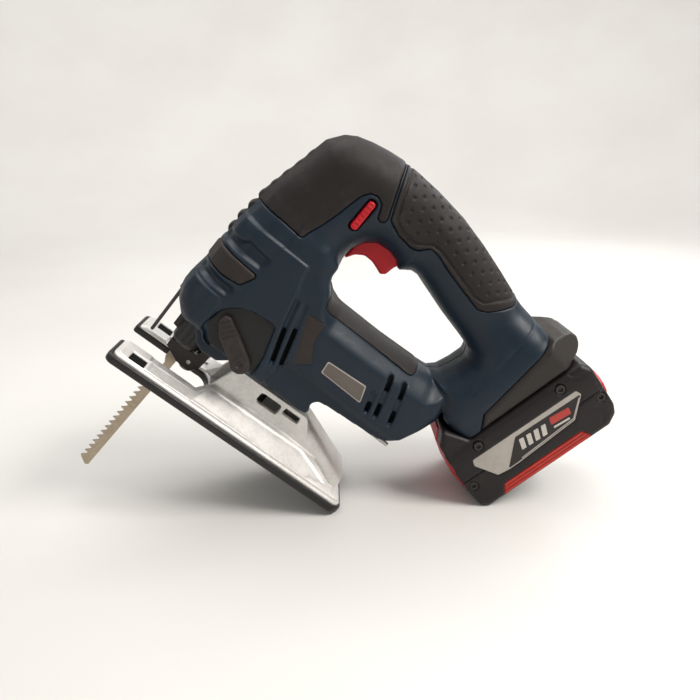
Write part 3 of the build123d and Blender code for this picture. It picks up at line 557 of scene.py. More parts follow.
PANEL1 = fil([(-60, 20), (-60, 121.1), (31.6, 121.5), (31.1, 118.3), (33.5, 109.4), (37.2, 99.7), (41.0, 84.4), (48.6, 60.5), (55, 38), (62, 20)], [0, 0, 1.5, 2, 6, 6, 6, 6, 0, 0])
RIDGE3 = fil([(-60, 20), (-60, 73.3), (0.4, 73.3), (3.4, 69.5), (2.0, 20)], [0, 0, 2, 4, 0])
SEL_C = (34.5, 46.5)
DIAL = fil([(2.0, 52), (5.2, 65.2), (7.5, 69.2), (13.7, 75.1), (21.5, 78.7), (31.3, 79.6), (38.1, 79.5), (39.6, 74.9), (44.6, 58.5), (46.0, 47), (44, 38), (24, 37), (8, 44)], [4, 4, 4, 6, 6, 4, 2, 2, 4, 4, 4, 4, 4])
GROOVES = [[(38.6, 100.0), (42.4, 84.4), (50.8, 58.6)], [(44.2, 101.3), (48.2, 88.0), (56.6, 59.4)],
           [(119.9, 70.2), (115.2, 83.0)], [(126.9, 71.1), (117.6, 98.4)], [(138.0, 72.9), (128.2, 99.6)]]
VENTS = [[(43.6, 80.6), (50.2, 60.4)], [(49.2, 84.6), (56.0, 61.4)],
         [(119.6, 71.0), (118.0, 75.4)], [(126.4, 72.6), (124.2, 78.6)], [(120.4, 90.4), (117.9, 97.6)], [(137.4, 74.6), (135.2, 80.6)], [(131.4, 91.0), (128.7, 98.4)]]
VENT_R = [1.35, 1.35, 1.5, 1.6, 1.6, 1.5, 1.3]
SCREWS = [(2, 62), (40, 114), (46, 52), (80, 50), (57, 102), (150, 100), (156, 170), (92, 164), (128, 155), (34, 145)]
LOCK = fil([(34.2, 155.3), (39.0, 155.7), (38.8, 175.5), (34.3, 175.1)], 1.9)
LOCK_SLOT = fil([(33.3, 154.3), (40.0, 154.7), (39.8, 176.6), (33.4, 176.2)], 2.4)
CAVITY = [([(-12, 54), (-12, 128), (40, 128), (44, 116), (50, 108), (150, 106), (152, 90), (146, 70), (140, 65.5), (92, 63), (84, 54)], 26.5),
          ([(-9, 124), (-3, 160), (0, 182), (8, 191), (30, 197), (44, 198), (44, 160), (38, 140), (38, 124)], 19.0),
          ([(40, 166), (40, 198), (80, 198), (110, 193), (146, 184), (146, 156), (110, 163), (86, 169)], 13.5),
          ([(144, 110), (150, 140), (150, 180), (166, 178), (170, 160), (160, 104), (150, 100)], 19.0)]
AC, AS = math.cos(math.radians(11.0)), math.sin(math.radians(11.0))


class Spots:
    """Loose points in place of a grid."""

    def __init__(self, x, z):
        self.X, self.Z = x, z

    def poly(self, pts):
        return poly(pts, self.X, self.Z)


def vu(x, z):
    """Battery axes: v out of the collar, u up along the battery."""
    return (x - 233.5) * AC - (z - 75.9) * AS, (x - 233.5) * AS + (z - 75.9) * AC


def from_vu(v, u):
    return 233.5 + v * AC + u * AS, 75.9 - v * AS + u * AC


def casing(g, Y):
    """Outer skin of the tool body, both halves, without openings."""
    X, Z = g.X, g.Z
    A = np.abs(Y)
    V, U = vu(X, Z)
    # head and motor barrel: upright walls below, round over the motor above
    rl = 6.5 + 19.5 * sstep(Z, 78.0, 106.0) * sstep(X, 50.0, 68.0) * (1 - 0.55 * sstep(X, 146.0, 160.0))
    rl = rl + 5.0 * sstep(Z, 100.0, 130.0) * (1 - sstep(X, 30.0, 56.0))
    low = rext(g.poly(LOW), Y, 31.0 - 1.2 * sstep(Z, 92.0, 132.0), rl)
    # bow handle: deep nose, round grip, boot that flares to the battery collar
    w = 27.2 - 5.6 * sstep(X, 38.0, 80.0) + 11.6 * sstep(V, -108.0, -62.0)
    ru = 23.0 - 3.0 * sstep(X, 40.0, 80.0) - 3.0 * sstep(V, -100.0, -75.0) - 8.0 * sstep(V, -74.0, -60.0)
    bow = rext(g.poly(BOW), Y, w, ru)
    f = smin(low, bow, 5.0 - 3.4 * sstep(X, 120.0, 150.0))
    # the nose is round in plan
    ln = 25.0 - 5.0 * sstep(Z, 130.0, 150.0)
    wn = 31.0 - 3.4 * sstep(Z, 112.0, 142.0)
    dx = X - np.interp(Z, FRONT_Z, FRONT_X)
    nose = (np.hypot(np.maximum(ln - dx, 0.0) / ln, A / wn) - 1.0) * 22.0
    # with a flat between the ribbed strip and the flank
    ya, yb = 8.6, 17.6
    xa, xb = ln - ln * np.sqrt(1 - (ya / wn) ** 2), ln - ln * np.sqrt(1 - (yb / wn) ** 2)
    hyp = np.hypot(xb - xa, yb - ya)
    flat = ((A - ya) * (xb - xa) - (dx - xa) * (yb - ya)) / hyp + 0.35
    nose = smax(nose, flat, 0.25)
    f = np.where(dx < ln + 8.0, smax(f, nose, 2.0), f)
    # the barrel is chamfered below
    cham = np.minimum(0.824 * (A - 30.8) - 0.567 * (Z - 66.6), A - 27.2)
    f = smax(f, cham - 8.0 * (1 - sstep(X, 50.0, 60.0)), 0.5)
    ch = fil([(0, 50), (3.5, 41), (6.5, 36.0), (12, 33.0), (23, 33.6), (29.0, 38.4), (31, 48)], 2.5)
    return smin(f, rext(g.poly(ch), A - 16.2, 2.1, 1.2), 1.5)


def skin(g, Y, left):
    """casing() with its raised panels, scoops and steps."""
    X, Z = g.X, g.Z
    f = casing(g, Y)
    side = sstep(np.abs(Y), 11.0, 15.0)
    flank = sstep(np.abs(Y), 22.0, 26.0)
    # panel of the head: its bevelled rim catches the light
    f = f - 1.5 * sstep(-g.poly(PANEL1), -0.9, 0.9) * side
    f = f - 1.0 * sstep(-g.poly(RIDGE3), -0.7, 0.7) * side
    for s, dep in ((SCOOP1, 2.3), (SCOOP2, 2.1)):
        f = f + dep * sstep(-g.poly(s), -0.3, 3.4) * side
    for v in GROOVES[:2]:
        f = f + 1.1 * (1 - sstep(line(v, X, Z), 1.1, 2.0)) * side
    for v in GROOVES[2:]:
        f = f + 1.3 * (1 - sstep(line(v, X, Z), 1.3, 2.2)) * side
    f = f + 0.6 * sstep(-g.poly(MOTIF), -0.3, 0.5) * flank
    if left:
        f = f + 2.4 * sstep(-g.poly(DIAL), -0.4, 0.6) * flank
    # soft seam where the boot meets the barrel, step ahead of the collar
    v, u = vu(X, Z)
    f = f + 0.5 * (1 - sstep(np.abs(v + 72.5 + 0.16 * (u - 22.0)), 0.3, 1.1)) * sstep(u, 26.0, 36.0) * (1 - sstep(u, 92.0, 98.0))
    return f


def housing(left):
    side = -1 if left else 1
    g = Grid(-28, 198, -1.6, 34.9, 28, 209, 0.78)
    X, Y, Z = g.X, g.Y, g.Z
    f0 = casing(g, Y)
    f = skin(g, Y, left)
    v, u = vu(X, Z)
    for reg, dep in ((HOOD, 2.6), (PADO, 2.6), (STRIP, 2.4), (NOSE_PAD, 1.6)):
        f = smax(f, -np.maximum(g.poly(reg), np.maximum(-(f0 + dep), (9.6 - np.abs(Y)) if reg is NOSE_PAD else -99.0)), 0.7)
    f = smax(f, -np.maximum(np.maximum(np.abs(Y) - 9.2, band(Z, 100.0, 146.0)), np.maximum(-(f0 + 2.4), X)), 0.8)
    # collar seat
    f = smax(f, np.minimum(v + 59.5 + 0.178 * (u - 31.5), 0.669 * (v + 59.5) + 0.744 * (u - 31.5)), 0.8)
    f = np.maximum(f, v + 50.4)
    f = smax(f, -np.maximum(band(v, -74.0, -40.0), np.maximum(np.abs(Y) - 24.0, band(u, 4.0, 90.0))), 0.5)
    for c, w in CAVITY:
        f = np.maximum(f, -np.maximum(np.maximum(g.poly(c), np.abs(Y) - w), f0 + 4.4))
    # mouth over the plunger and blade clamp
    f = smax(f, -np.maximum(np.maximum(np.abs(Y) - 13.6, band(X, -13.6, 29.5)), Z - 60.0), 1.2)
    run = np.hypot(X - 1.5, Y)
    f = smax(f, -np.maximum(np.minimum(np.maximum(run - 14.8, Z - 77.0), np.maximum(run - 6.0, Z - 175.0)), f0 + 1.6), 0.5)
    for i, (pl, r) in enumerate(zip(VENTS, VENT_R)):
        f = smax(f, -np.maximum(line(pl, X, Z) - r, 18.0 - np.abs(Y)), 0.5)
    # trigger, lock bar, screws, key, guard wire
    f = smax(f, -np.maximum(box2(X, Z, 43.0, 83.0, 130.0, 172.0), np.abs(Y) - 7.7), 0.8)
    f = smax(f, -np.maximum(g.poly(LOCK_SLOT), 0 * Y - 1), 0.7)
    f = smin(f, np.maximum(np.hypot(X + 21.3, Y) - 2.5, band(Z, 52.6, 62.0)), 1.2)
    f = smax(f, -np.maximum(np.hypot(X + 21.5, Y) - 1.35, Z - 62.0), 0.3)
    if left:
        f = smax(f, -np.maximum(band(X, 96.5, 175.0), np.maximum(np.abs(np.abs(Y) - 24.3) - 2.0, Z - 60.1)), 0.5)
        f = smax(f, -np.maximum(np.hypot(X - 35.0, Z - 46.0) - 4.9, 0 * Y - 1), 0.3)
    else:
        for sx, sz in SCREWS:
            q = np.hypot(X - sx, Z - sz)
            f = smax(f, -np.maximum(q - 3.2, 10.0 - Y), 0.6)
    f = smax(f, 0.06 - Y, 0.5)
    vv, q = nets(f, g)
    if left:
        vv[:, 1] *= -1
        q = q[:, ::-1]

    def pick(c):
        x, z, y = c[:, 0], c[:, 2], np.abs(c[:, 1])
        k = np.zeros(len(c), int)
        # faces deep in the hollows take the shadow black: painted shade of the interior
        for pg, w in CAVITY:
            k[(poly(pg, x, z) < 0.3) & (y < w + 0.3)] = 1
        k[casing(Spots(x, z), c[:, 1]) > -3.4] = 0
        return k

    name = "housing_left" if left else "housing_right"
    return mesh(name + "_skin", vv, q, [BLUE, HOLE_SHADE], "body", (name,), pick, keep=0.6)


housing(True)
housing(False)


def front_grip():
    g = Grid(-24, 54, -30.5, 30.5, 98, 208, 0.85)
    X, Y, Z = g.X, g.Y, g.Z
    f0 = casing(g, Y)
    reg = g.poly(HOOD)
    body = f0 - 0.35
    f = smax(body, reg + 0.35, 1.2)
    f = np.maximum(f, -(f0 + 2.4))
    wave = 0.5 - 0.5 * np.cos((Z - 102.5) * 2 * math.pi / 9.4)
    s = smax(f0 - 0.9 + 1.9 * (1 - wave) ** 1.6, np.abs(Y) - 8.7, 1.6)
    s = np.maximum(smax(s, band(Z, 100.6, 147.0), 1.5), np.maximum(-(f0 + 2.2), X + 4.0))
    f = smin(f, s, 0.8)
    s = smax(f0 - 0.85 + 1.3 * (1 - wave) ** 1.6, np.abs(Y) - 8.4, 1.4)
    s = np.maximum(smax(s, band(Z, 143.0, 177.0), 1.5), np.maximum(-(f0 + 2.2), X - 2.0))
    f = smin(f, s, 0.8)
    f = smax(f, -np.maximum(g.poly(LOCK_SLOT), 0 * Y - 1), 0.7)
    v, q = nets(f, g)
    return mesh("front_grip_skin", v, q, [RUBBER], "body", ("front_grip",), keep=0.6)


front_grip()


def nose_pads():
    """Raised rubber pad on either side of the nose, part of the front grip."""
    g = Grid(-26, 13, 8.0, 34.5, 82, 102, 0.6)
    X, Y, Z = g.X, g.Y, g.Z
    f0 = casing(g, Y)
    f = smax(smax(f0 - 1.9, g.poly(NOSE_PAD) + 0.3, 2.2), 9.9 - Y, 1.4)
    f = np.maximum(f, -(f0 + 1.4))
    v, q = nets(f, g)
    w = v * np.array([1.0, -1.0, 1.0])
    n = len(v)
    return mesh("nose_pad_skin", np.concatenate([v, w]), np.concatenate([q, q[:, ::-1] + n]), [BROWN], "body", ("front_grip",), keep=0.7)


nose_pads()


def rear_pad():
    g = Grid(34, 154, -27.0, 27.0, 163, 208, 0.65)
    X, Y, Z = g.X, g.Y, g.Z
    f0 = casing(g, Y)
    o, i = g.poly(PADO), g.poly(PADI)
    body = f0 - 0.35
    # stepped border
    body = body + 0.9 * (1 - sstep(np.abs(i - 0.3), 0.5, 1.3))
    # dimples on a slanted grid laid round the handle
    ax, az, bx, bz = 44.0, 190.0, 148.0, 172.0
    ln = math.hypot(bx - ax, bz - az)
    tx, tz = (bx - ax) / ln, (bz - az) / ln
    s = (X - ax) * tx + (Z - az) * tz
    n = -(X - ax) * tz + (Z - az) * tx
    a = np.arctan2(np.abs(Y), n + 6.0) * 22.0
    pr, ps = 5.3, 8.58
    rowi = np.maximum(np.round((a + 1.05) / pr), 1.0)
    so = s - 0.7 - (rowi % 2 == 0) * ps / 2
    dx = so - np.round(so / ps) * ps
    da = a + 1.05 - rowi * pr
    rr = np.hypot(dx, da)
    body = body + 1.0 * (1 - sstep(rr, 0.5, 1.45)) * (i < -2.2)
    f = smax(body, o + 0.3, 1.4)
    f = np.maximum(f, -(f0 + 2.4))
    v, q = nets(f, g)
    return mesh("rear_grip_skin", v, q, [RUBBER], "body", ("rear_grip_pad",), keep=0.7)


rear_pad()


def lower_strip():
    g = Grid(50, 135, -32, 32, 102, 118, 0.7)
    X, Y, Z = g.X, g.Y, g.Z
    f0 = casing(g, Y)
    f = smax(f0 - 0.35, g.poly(STRIP) + 0.1, 0.7)
    f = np.maximum(f, -(f0 + 2.2))
    f = np.maximum(f, 103.2 - Z)
    v, q = nets(f, g)
    return mesh("lower_strip_skin", v, q, [RUBBER], "body", ("lower_grip_strip",), keep=0.6)


lower_strip()

# ---------------------------------------------------------------- controls
def small(name, f, g, mats, body, nodes, keep=0.8, pick=None):
    v, q = nets(f, g)
    return mesh(name, v, q, mats, body, nodes, pick, keep=keep)


def trigger():
    g = Grid(43, 83, -9, 9, 128, 172, 0.5)
    X, Y, Z = g.X, g.Y, g.Z
    t = fil([(46.2, 165.2), (50, 168.6), (54, 168.2), (79.6, 165.5), (79.8, 158.4), (76.2, 151.8), (75.0, 145.4), (72.0, 142.8), (67.4, 144.4), (62.4, 145.8), (56.4, 145.8), (51.1, 142.2), (47.7, 136.6),
             (46.7, 137.6), (45.9, 145.5), (46.1, 152)], [1, 1, 1, 1, 2, 3, 2, 1.6, 3, 4, 5, 5, 0.8, 0.8, 3, 3])
    f = rext(g.poly(t), Y, 7.1, 2.6)
    f = f + 0.35 * (1 - sstep(np.abs(Y), 0.3, 1.0)) * (Z < 156)
    return small("trigger_skin", f, g, [RED], "switch_trigger", ("trigger",))


def lock_bar():
    g = Grid(31, 43, -31, 28, 152, 179, 0.45)
    X, Y, Z = g.X, g.Y, g.Z
    f = rext(g.poly(LOCK), Y + 1.65, 27.8, 1.2)
    for z0 in (159.0, 161.8, 164.6, 167.4, 170.2, 173.0):
        f = f + 0.4 * (1 - sstep(np.abs(Z - z0), 0.25, 0.8)) * (np.abs(Y + 1.65) > 25.5) * sstep(1.9 - np.abs(X - 36.6), 0.0, 0.5)
    return small("lock_bar_skin", f, g, [RED], "lock_bolt", ("lock_off_bar",))


def lever():
    g = Grid(4, 46, -36.4, -29.4, 36, 72, 0.45)
    X, Y, Z = g.X, g.Y, g.Z
    s = fil([(8.6, 61.2), (9.0, 66.2), (12.9, 67.8), (23.6, 61.8), (38, 52.6), (42, 49), (42, 43.6), (38.4, 40.0), (33, 39.6), (28.8, 43.8), (14.6, 53.2)], [3, 3, 3, 6, 4, 4, 4, 4, 4, 5, 5])
    d = g.poly(s)
    yc = -33.2
    f = rext(d, Y - yc, 2.15, 1.3)
    # thumb ridges on the free end and a raised rib along the arm
    for k in range(4):
        px, pz = 10.6 + 2.6 * k, 62.2 - 1.9 * k
        f = f + 0.5 * (1 - sstep(np.abs((X - px) * 0.8 - (Z - pz) * 0.58), 0.3, 0.9)) * (Y < -33.0) * (d < -1.2)
    f = f + 0.55 * sstep(-d - 2.2, -0.2, 0.9) * (Y < -33.0) * sstep(X, 20.0, 24.0)
    piv = np.maximum(np.hypot(X - 35, Z - 46) - 4.6, band(Y, -35.4, -29.8))
    f = smin(f, piv, 0.8)
    f = smax(f, -np.maximum(np.hypot(X - 35, Z - 46) - 2.2, Y + 34.6), 0.4)
    return small("selector_skin", f, g, [LEVER], "orbit_selector", ("selector_lever",))


trigger()
lock_bar()
lever()

# ---------------------------------------------------------------- shoe
def shoe():
    g = Grid(-33, 153, -43, 43, 1.5, 40, 0.62)
    X, Y, Z = g.X, g.Y, g.Z
    A = np.abs(Y)
    xs, ys = g.x[:, None], g.y[None, :]
    o2 = fil([(-29.4, -39.6), (149, -39.6), (149, 39.6), (-29.4, 39.6)], [4.5, 6, 6, 4.5])
    out = poly(o2, xs, ys)[:, :, None]
    slot = np.minimum(np.maximum(X - 23.0, A - 14.5), (np.hypot((X - 23.0) / 8.0, A / 14.5) - 1.0) * 8.0)
    slot = np.maximum(slot, -X - 60)
    base = smax(out, 0.4 - slot, 2.2)
    plate = np.maximum(base, band(Z, 3.1, 7.0))
    # sloped roof panels with a raised border, lower ahead of the blade clamp
    roof = 18.2 - (A - 17.0) * (9.8 / 22.0)
    ramp = 9.2 + (X - 25.5) * 1.15
    # ahead of it a sloped strip along the edge and a flat recess beside the blade slot
    edge = sstep(A, 23.8, 24.8)
    low = (7.1 + 0.0 * X) * (1 - edge) + (9.3 - (A - 24.5) * (0.9 / 13.5)) * edge
    low = 8.2 + (low - 8.2) * sstep(X, -9.4, -8.4)
    top = np.minimum(roof, np.maximum(ramp, low))
    inset = poly(fil([(-27.4, -37.8), (147, -37.8), (147, 37.8), (-27.4, 37.8)], [3.4, 4, 4, 3.4]), xs, ys)[:, :, None]
    tail = (15.9 + (X - 112.0) * 0.62) - A
    wedge = np.maximum(np.maximum(Z - top, inset), np.maximum(15.0 - A, np.maximum(3.1 - Z, np.maximum(tail * 0.85, X - 146.5))))
    wedge = smax(wedge, 0.9 - slot, 1.6)
    pan = fil([(22.6, -37.0), (118.0, -37.3), (119.4, -34.4), (134.0, -33.4), (107.5, -21.0), (31.5, -21.6), (27.4, -25.0)], [0.6, 0.6, 0.6, 1.0, 2, 1.5, 1.5])
    pd = poly(pan, xs, -np.abs(ys))[:, :, None]
    wedge = wedge + 0.6 * sstep(-pd, -0.1, 0.5)
    pan2 = fil([(-4.0, -23.0), (21.6, -23.0), (24.0, -16.4), (-1.0, -16.4)], 1.0)
    pd2 = poly(pan2, xs, -np.abs(ys))[:, :, None]
    wedge = wedge + 0.5 * sstep(-pd2, -0.1, 0.5)
    pan3 = fil([(-6.6, -37.0), (20.6, -37.0), (24.4, -26.2), (-6.6, -26.2)], 0.6)
    pd3 = poly(pan3, xs, -np.abs(ys))[:, :, None]
    wedge = wedge + 0.35 * sstep(-pd3, -0.1, 0.5)
    f = smin(plate, wedge, 0.7)
    # vault that the casing rolls on, with its windows, and the ramp behind it
    c = 77.6 - 0.0
    rad = np.hypot(A, 0.0 * Z) * 0
    side = fil([(29.5, 3), (31.5, 17.6), (37.4, 34.4), (40.5, 36.4), (95.3, 36.8), (98.5, 34.6), (110.4, 17.9), (112, 3)], [0, 3, 4, 2, 2, 4, 3, 0])
    wall = np.maximum(poly(side, xs, 0 * xs + g.z[None, :])[:, None, :], band(A, 13.6, 17.2))
    win = np.minimum(rext(poly(fil([(61, 24.8), (78, 24.8), (78, 32.6), (61, 32.6)], 2.2), xs, g.z[None, :])[:, None, :], A - 15, 9, 0.1),
                     rext(poly(fil([(80.5, 28.4), (94.5, 28.4), (93, 33.2), (80.5, 33.2)], 1.0), xs, g.z[None, :])[:, None, :], A - 15, 9, 0.1))
    wall = smax(wall, -win, 0.6)
    wall = np.maximum(wall, VAULT(Y, Z))
    f = smin(f, wall, 1.6)
    rf = 35.6 - (X - 97.0) * 0.415 - 0.0
    hw = 17.2 + (X - 97.0) * 0.10
    rr = np.maximum(np.hypot(np.maximum(A - hw + 11.0, 0), np.maximum(Z - rf + 11.0, 0)) - 11.0, np.maximum(A - hw, Z - rf))
    rr = np.maximum(rr, np.maximum(band(X, 94.0, 145.5), 3.1 - Z))
    hol = np.maximum(np.hypot(np.maximum(A - hw + 12.0, 0), np.maximum(Z - rf + 14.0, 0)) - 9.6, np.maximum(A - hw + 2.4, Z - rf + 2.4))
    rr = np.maximum(rr, -np.maximum(hol, X - 141.0))
    f = smin(f, np.maximum(rr, VAULT(Y, Z)), 1.4)
    gs = rext(poly(fil([(-20.5, 26.5), (-9.5, 26.5), (-9.5, 37.0), (-20.5, 37.0)], 0.6), xs, np.abs(ys))[:, :, None], Z - 5.0, 14.0, 0.1)
    f = smax(f, -gs, 0.5)
    f = smin(f, np.maximum(np.abs(rext(poly(fil([(-22.2, 25.0), (-8.0, 25.0), (-8.0, 38.4), (-22.2, 38.4)], 1.2), xs, np.abs(ys))[:, :, None], Z - 7.2, 2.6, 0.3) + 0.0) - 0.0, np.maximum(-gs, 7.0 - Z)) + 0.0, 0.5)
    v, q = nets(f, g)
    return mesh("shoe_skin", v, q, [CAST], "shoe", ("shoe_plate",), keep=0.6)


def guide_slots():
    """Black blocks in the two sockets for a parallel guide: painted shade of the socket hollows."""
    pts = [(-20.3, 3.4), (-9.7, 3.4), (-9.7, 7.3), (-20.3, 7.3)]
    return plates("guide_slot_skin", [HOLE_SHADE], "shoe", ("shoe_plate",), [(pts, s * 26.7, s * 36.8, 0) for s in (-1, 1)])


def VAULT(Y, Z):
    """Outside of the cylinder that the underside of the casing sweeps."""
    return -(np.hypot(Y, Z - BEV_Z) - 0.0) + BEV_R if BEV_R < 0 else np.hypot(Y, Z - BEV_Z) - BEV_R


BEV_Z, BEV_R = 0.0, 41.0
shoe()


def sole():
    """Glide sole with a raised lip round the cast plate."""
    g = Grid(-34, 153.5, -44, 44, -1.6, 7.4, 0.62)
    X, Y, Z = g.X, g.Y, g.Z
    A = np.abs(Y)
    xs, ys = g.x[:, None], g.y[None, :]
    slot = np.minimum(np.maximum(X - 23.0, A - 14.5), (np.hypot((X - 23.0) / 8.0, A / 14.5) - 1.0) * 8.0)
    out = poly(fil([(-32, -42), (151.5, -42), (151.5, 42), (-32, 42)], [5.4, 9, 9, 5.4]), xs, ys)[:, :, None]
    f = smax(out, -slot, 2.4)
    inner = smax(out + 2.3, 2.3 - slot, 1.6)
    f = smax(f, band(Z, 0.0, 5.6), 1.3)
    f = smax(f, -np.maximum(inner, 3.0 - Z), 0.4)
    f = np.maximum(f, np.where((X > 149.5) & (Z < 2.0), np.hypot(X - 149.5, 2.0 - Z) - 2.0, -9.0))
    f = smax(f, -np.maximum(band(X, -20.5, -9.5), band(A, 26.5, 37.0)), 0.4)
    f = smax(f, -(np.hypot(X - 66.0, Y) - 6.0), 0.4)
    # runner grooves underneath
    for y0 in (22.0, 30.0):
        f = f + 0.45 * (1 - sstep(np.abs(A - y0), 0.5, 1.3)) * (Z < 1.0) * sstep(X, 34.0, 36.0) * (1 - sstep(X, 138.0, 140.0))
    v, q = nets(f, g)
    return mesh("sole_skin", v, q, [SOLE], "shoe", ("sole_cover",), keep=0.6)


sole()

# ---------------------------------------------------------------- battery and collar
COLL = fil([(-59.1, 32.0), (-70.8, 96.4), (-68.6, 100.4), (-66.6, 104.2), (-63.2, 108.8), (-57.6, 111.4), (-52.6, 109.4), (-50.3, 104.6), (-50.2, 98.0), (-50.2, 23.9)],
           [1.2, 2, 3, 3, 3, 3, 4, 4, 3, 0.8])


def collar():
    g = Grid(152, 212, -35.5, 35.5, 92, 204, 0.85)
    X, Y, Z = g.X, g.Y, g.Z
    v, u = vu(X[:, 0, :], Z[:, 0, :])
    d = poly(COLL, v, u)[:, None, :]
    v, u = v[:, None, :], u[:, None, :]
    w = 33.9 - 0.02 * np.maximum(u - 95.0, 0) ** 1.5
    f = rext(d, Y, w, 3.4)
    # the lug is bevelled towards the flanks
    f = smax(f, 0.663 * (u - 110.8) + 0.75 * (np.abs(Y) - 16.5), 1.0)
    # channel for the battery rails, open towards the battery and downwards
    ch = np.maximum(band(v, -64.6, -40.0), np.maximum(np.abs(Y) - 27.0, u - 95.2))
    f = smax(f, -ch, 0.8)
    f = np.maximum(f, -(np.maximum(band(v, -90.0, -59.0), np.maximum(np.abs(Y) - 23.0, u - 92.0))))
    vv, q = nets(f, g)
    return mesh("collar_skin", vv, q, [MOUNT], "body", ("battery_mount",), keep=0.6)


collar()

PK = fil([(-49.6, -6.6), (-36, -8.9), (-19.5, -10.2), (-4.6, -9.6), (0, -4.6), (0, 93), (-5, 100.4), (-11.5, 103.0), (-25, 103.8), (-43, 104.6), (-49.6, 100.6)],
         [2, 6, 6, 4, 4, 4, 4, 6, 6, 3, 3])
NOSE = fil([(-67.4, 3.8), (-58.2, -5.2), (-49, -6.8), (-44, -6.8), (-44, 17), (-49.4, 14.2)], [2, 3, 1, 0, 0, 1])
SIDE_RED = fil([(-9.3, 13.2), (-2.0, 8.4), (-2.4, 79.4), (-9.6, 75.5)], [0.8, 0.6, 0.6, 0.8])
LAB = fil([(-38.6, 6.7), (-37.1, 88.2), (-32.6, 89.9), (-19.0, 76.6), (-16.2, 29.6), (-16.2, 22.0), (-17.5, 13.5), (-34.1, 4.9)], [1.6, 1.2, 1.4, 1.6, 2, 2, 1.6, 1.6])
BSCR = [(-44.3, 15.9), (-43.9, 80.6), (-22.2, 98.4), (-21.2, -4.0)]
BUTTON = fil([(-64.0, -0.4), (-58.4, -6.2), (-51, -7.7), (-51, -1.4), (-57.5, -0.1), (-60.2, 1.9), (-63.8, 1.9)], [1, 2, 1, 0, 1, 1, 0.8])
BOT_RED = [(-49, -14), (-49.0, -4.6), (-13.0, -7.8), (-10.5, -14)]
BUMP = fil([(-49.0, -8.0), (-46.5, -10.4), (-38, -13.2), (-26, -15.2), (-16, -15.6), (-12.0, -12.4), (-12.6, -6.0), (-49.0, -3.0)], [1, 2, 6, 6, 4, 3, 0, 0])
BUMP_T = fil([(-26.2, 101.0), (-25.4, 106.6), (-21.4, 109.0), (-15.6, 108.2), (-10.8, 104.8), (-5.4, 100.0), (-5.4, 94.0), (-26.0, 97.0)], [1, 2, 3, 4, 4, 2, 0, 0])
TOP_RED = [(-26, 112), (-26.0, 100.8), (-9.5, 98.0), (-3.0, 95.6), (4.0, 110)]


def pack_body(g):
    X, Y, Z = g.X, g.Y, g.Z
    v, u = vu(X[:, 0, :], Z[:, 0, :])
    d = poly(PK, v, u)[:, None, :]
    dn = poly(NOSE, v, u)[:, None, :]
    V, U = v[:, None, :], u[:, None, :]
    A = np.abs(Y)
    w = 37.4 - 1.4 * sstep(-V, 38.0, 50.0)
    f = rext(d, Y, w, 4.2)
    f = smin(f, rext(dn, Y, 34.8, 4.0), 2.0)
    rail = np.maximum(np.minimum(np.maximum(band(V, -58.2, -46.0), A - 22.4), np.maximum(band(V, -58.2, -54.6), A - 26.4)), band(U, 10.0, 94.0))
    f = smin(f, rail, 0.6)
    s2 = poly(SIDE_RED, v, u)[:, None, :]
    l2 = poly(LAB, v, u)[:, None, :]
    side = sstep(A, 28.0, 33.0)
    f = f + 0.7 * sstep(-l2, -0.4, 0.2) * side
    f = smax(f, -np.maximum(s2, 34.6 - A), 0.4)
    # creases of the flank
    low = line([(-59.2, -2.9), (-47, -5.2), (-35.8, -8.6)], V, U)
    f = f + 0.7 * (1 - sstep(low, 0.3, 1.2)) * side
    upl = line([(-47.5, 91.0), (-45.2, 94.3), (-41.5, 100.5), (-34.3, 102.2), (-10.5, 99.7)], V, U)
    f = f + 0.7 * (1 - sstep(upl, 0.3, 1.2)) * side
    step = line([(-18.6, 92.5), (-12.0, 93.5), (-5.6, 90.0)], V, U)
    f = f + 0.45 * (1 - sstep(step, 0.3, 1.1)) * side
    for a, b in BSCR:
        f = smax(f, -np.maximum(np.hypot(V - a, U - b) - 3.4, 33.0 - A), 0.6)
    br = poly(BOT_RED, v, u)[:, None, :]
    tr = poly(TOP_RED, v, u)[:, None, :]
    base = rext(d, Y, w, 4.2)
    f = smax(f, -np.maximum(np.maximum(br, A - 30.5), -(base + 1.8)), 0.6)
    f = smax(f, -np.maximum(np.maximum(tr, A - 26.5), -(base + 1.8)), 0.6)
    bt = np.minimum(np.minimum(poly(BUTTON, v, u), poly(BUTTON, v, u - 1.3)), poly(BUTTON, v, u - 2.6))[:, None, :]
    f = smax(f, -np.maximum(bt - 0.6, A - 20.8), 0.5)
    return f, base, V, U, A, v, u


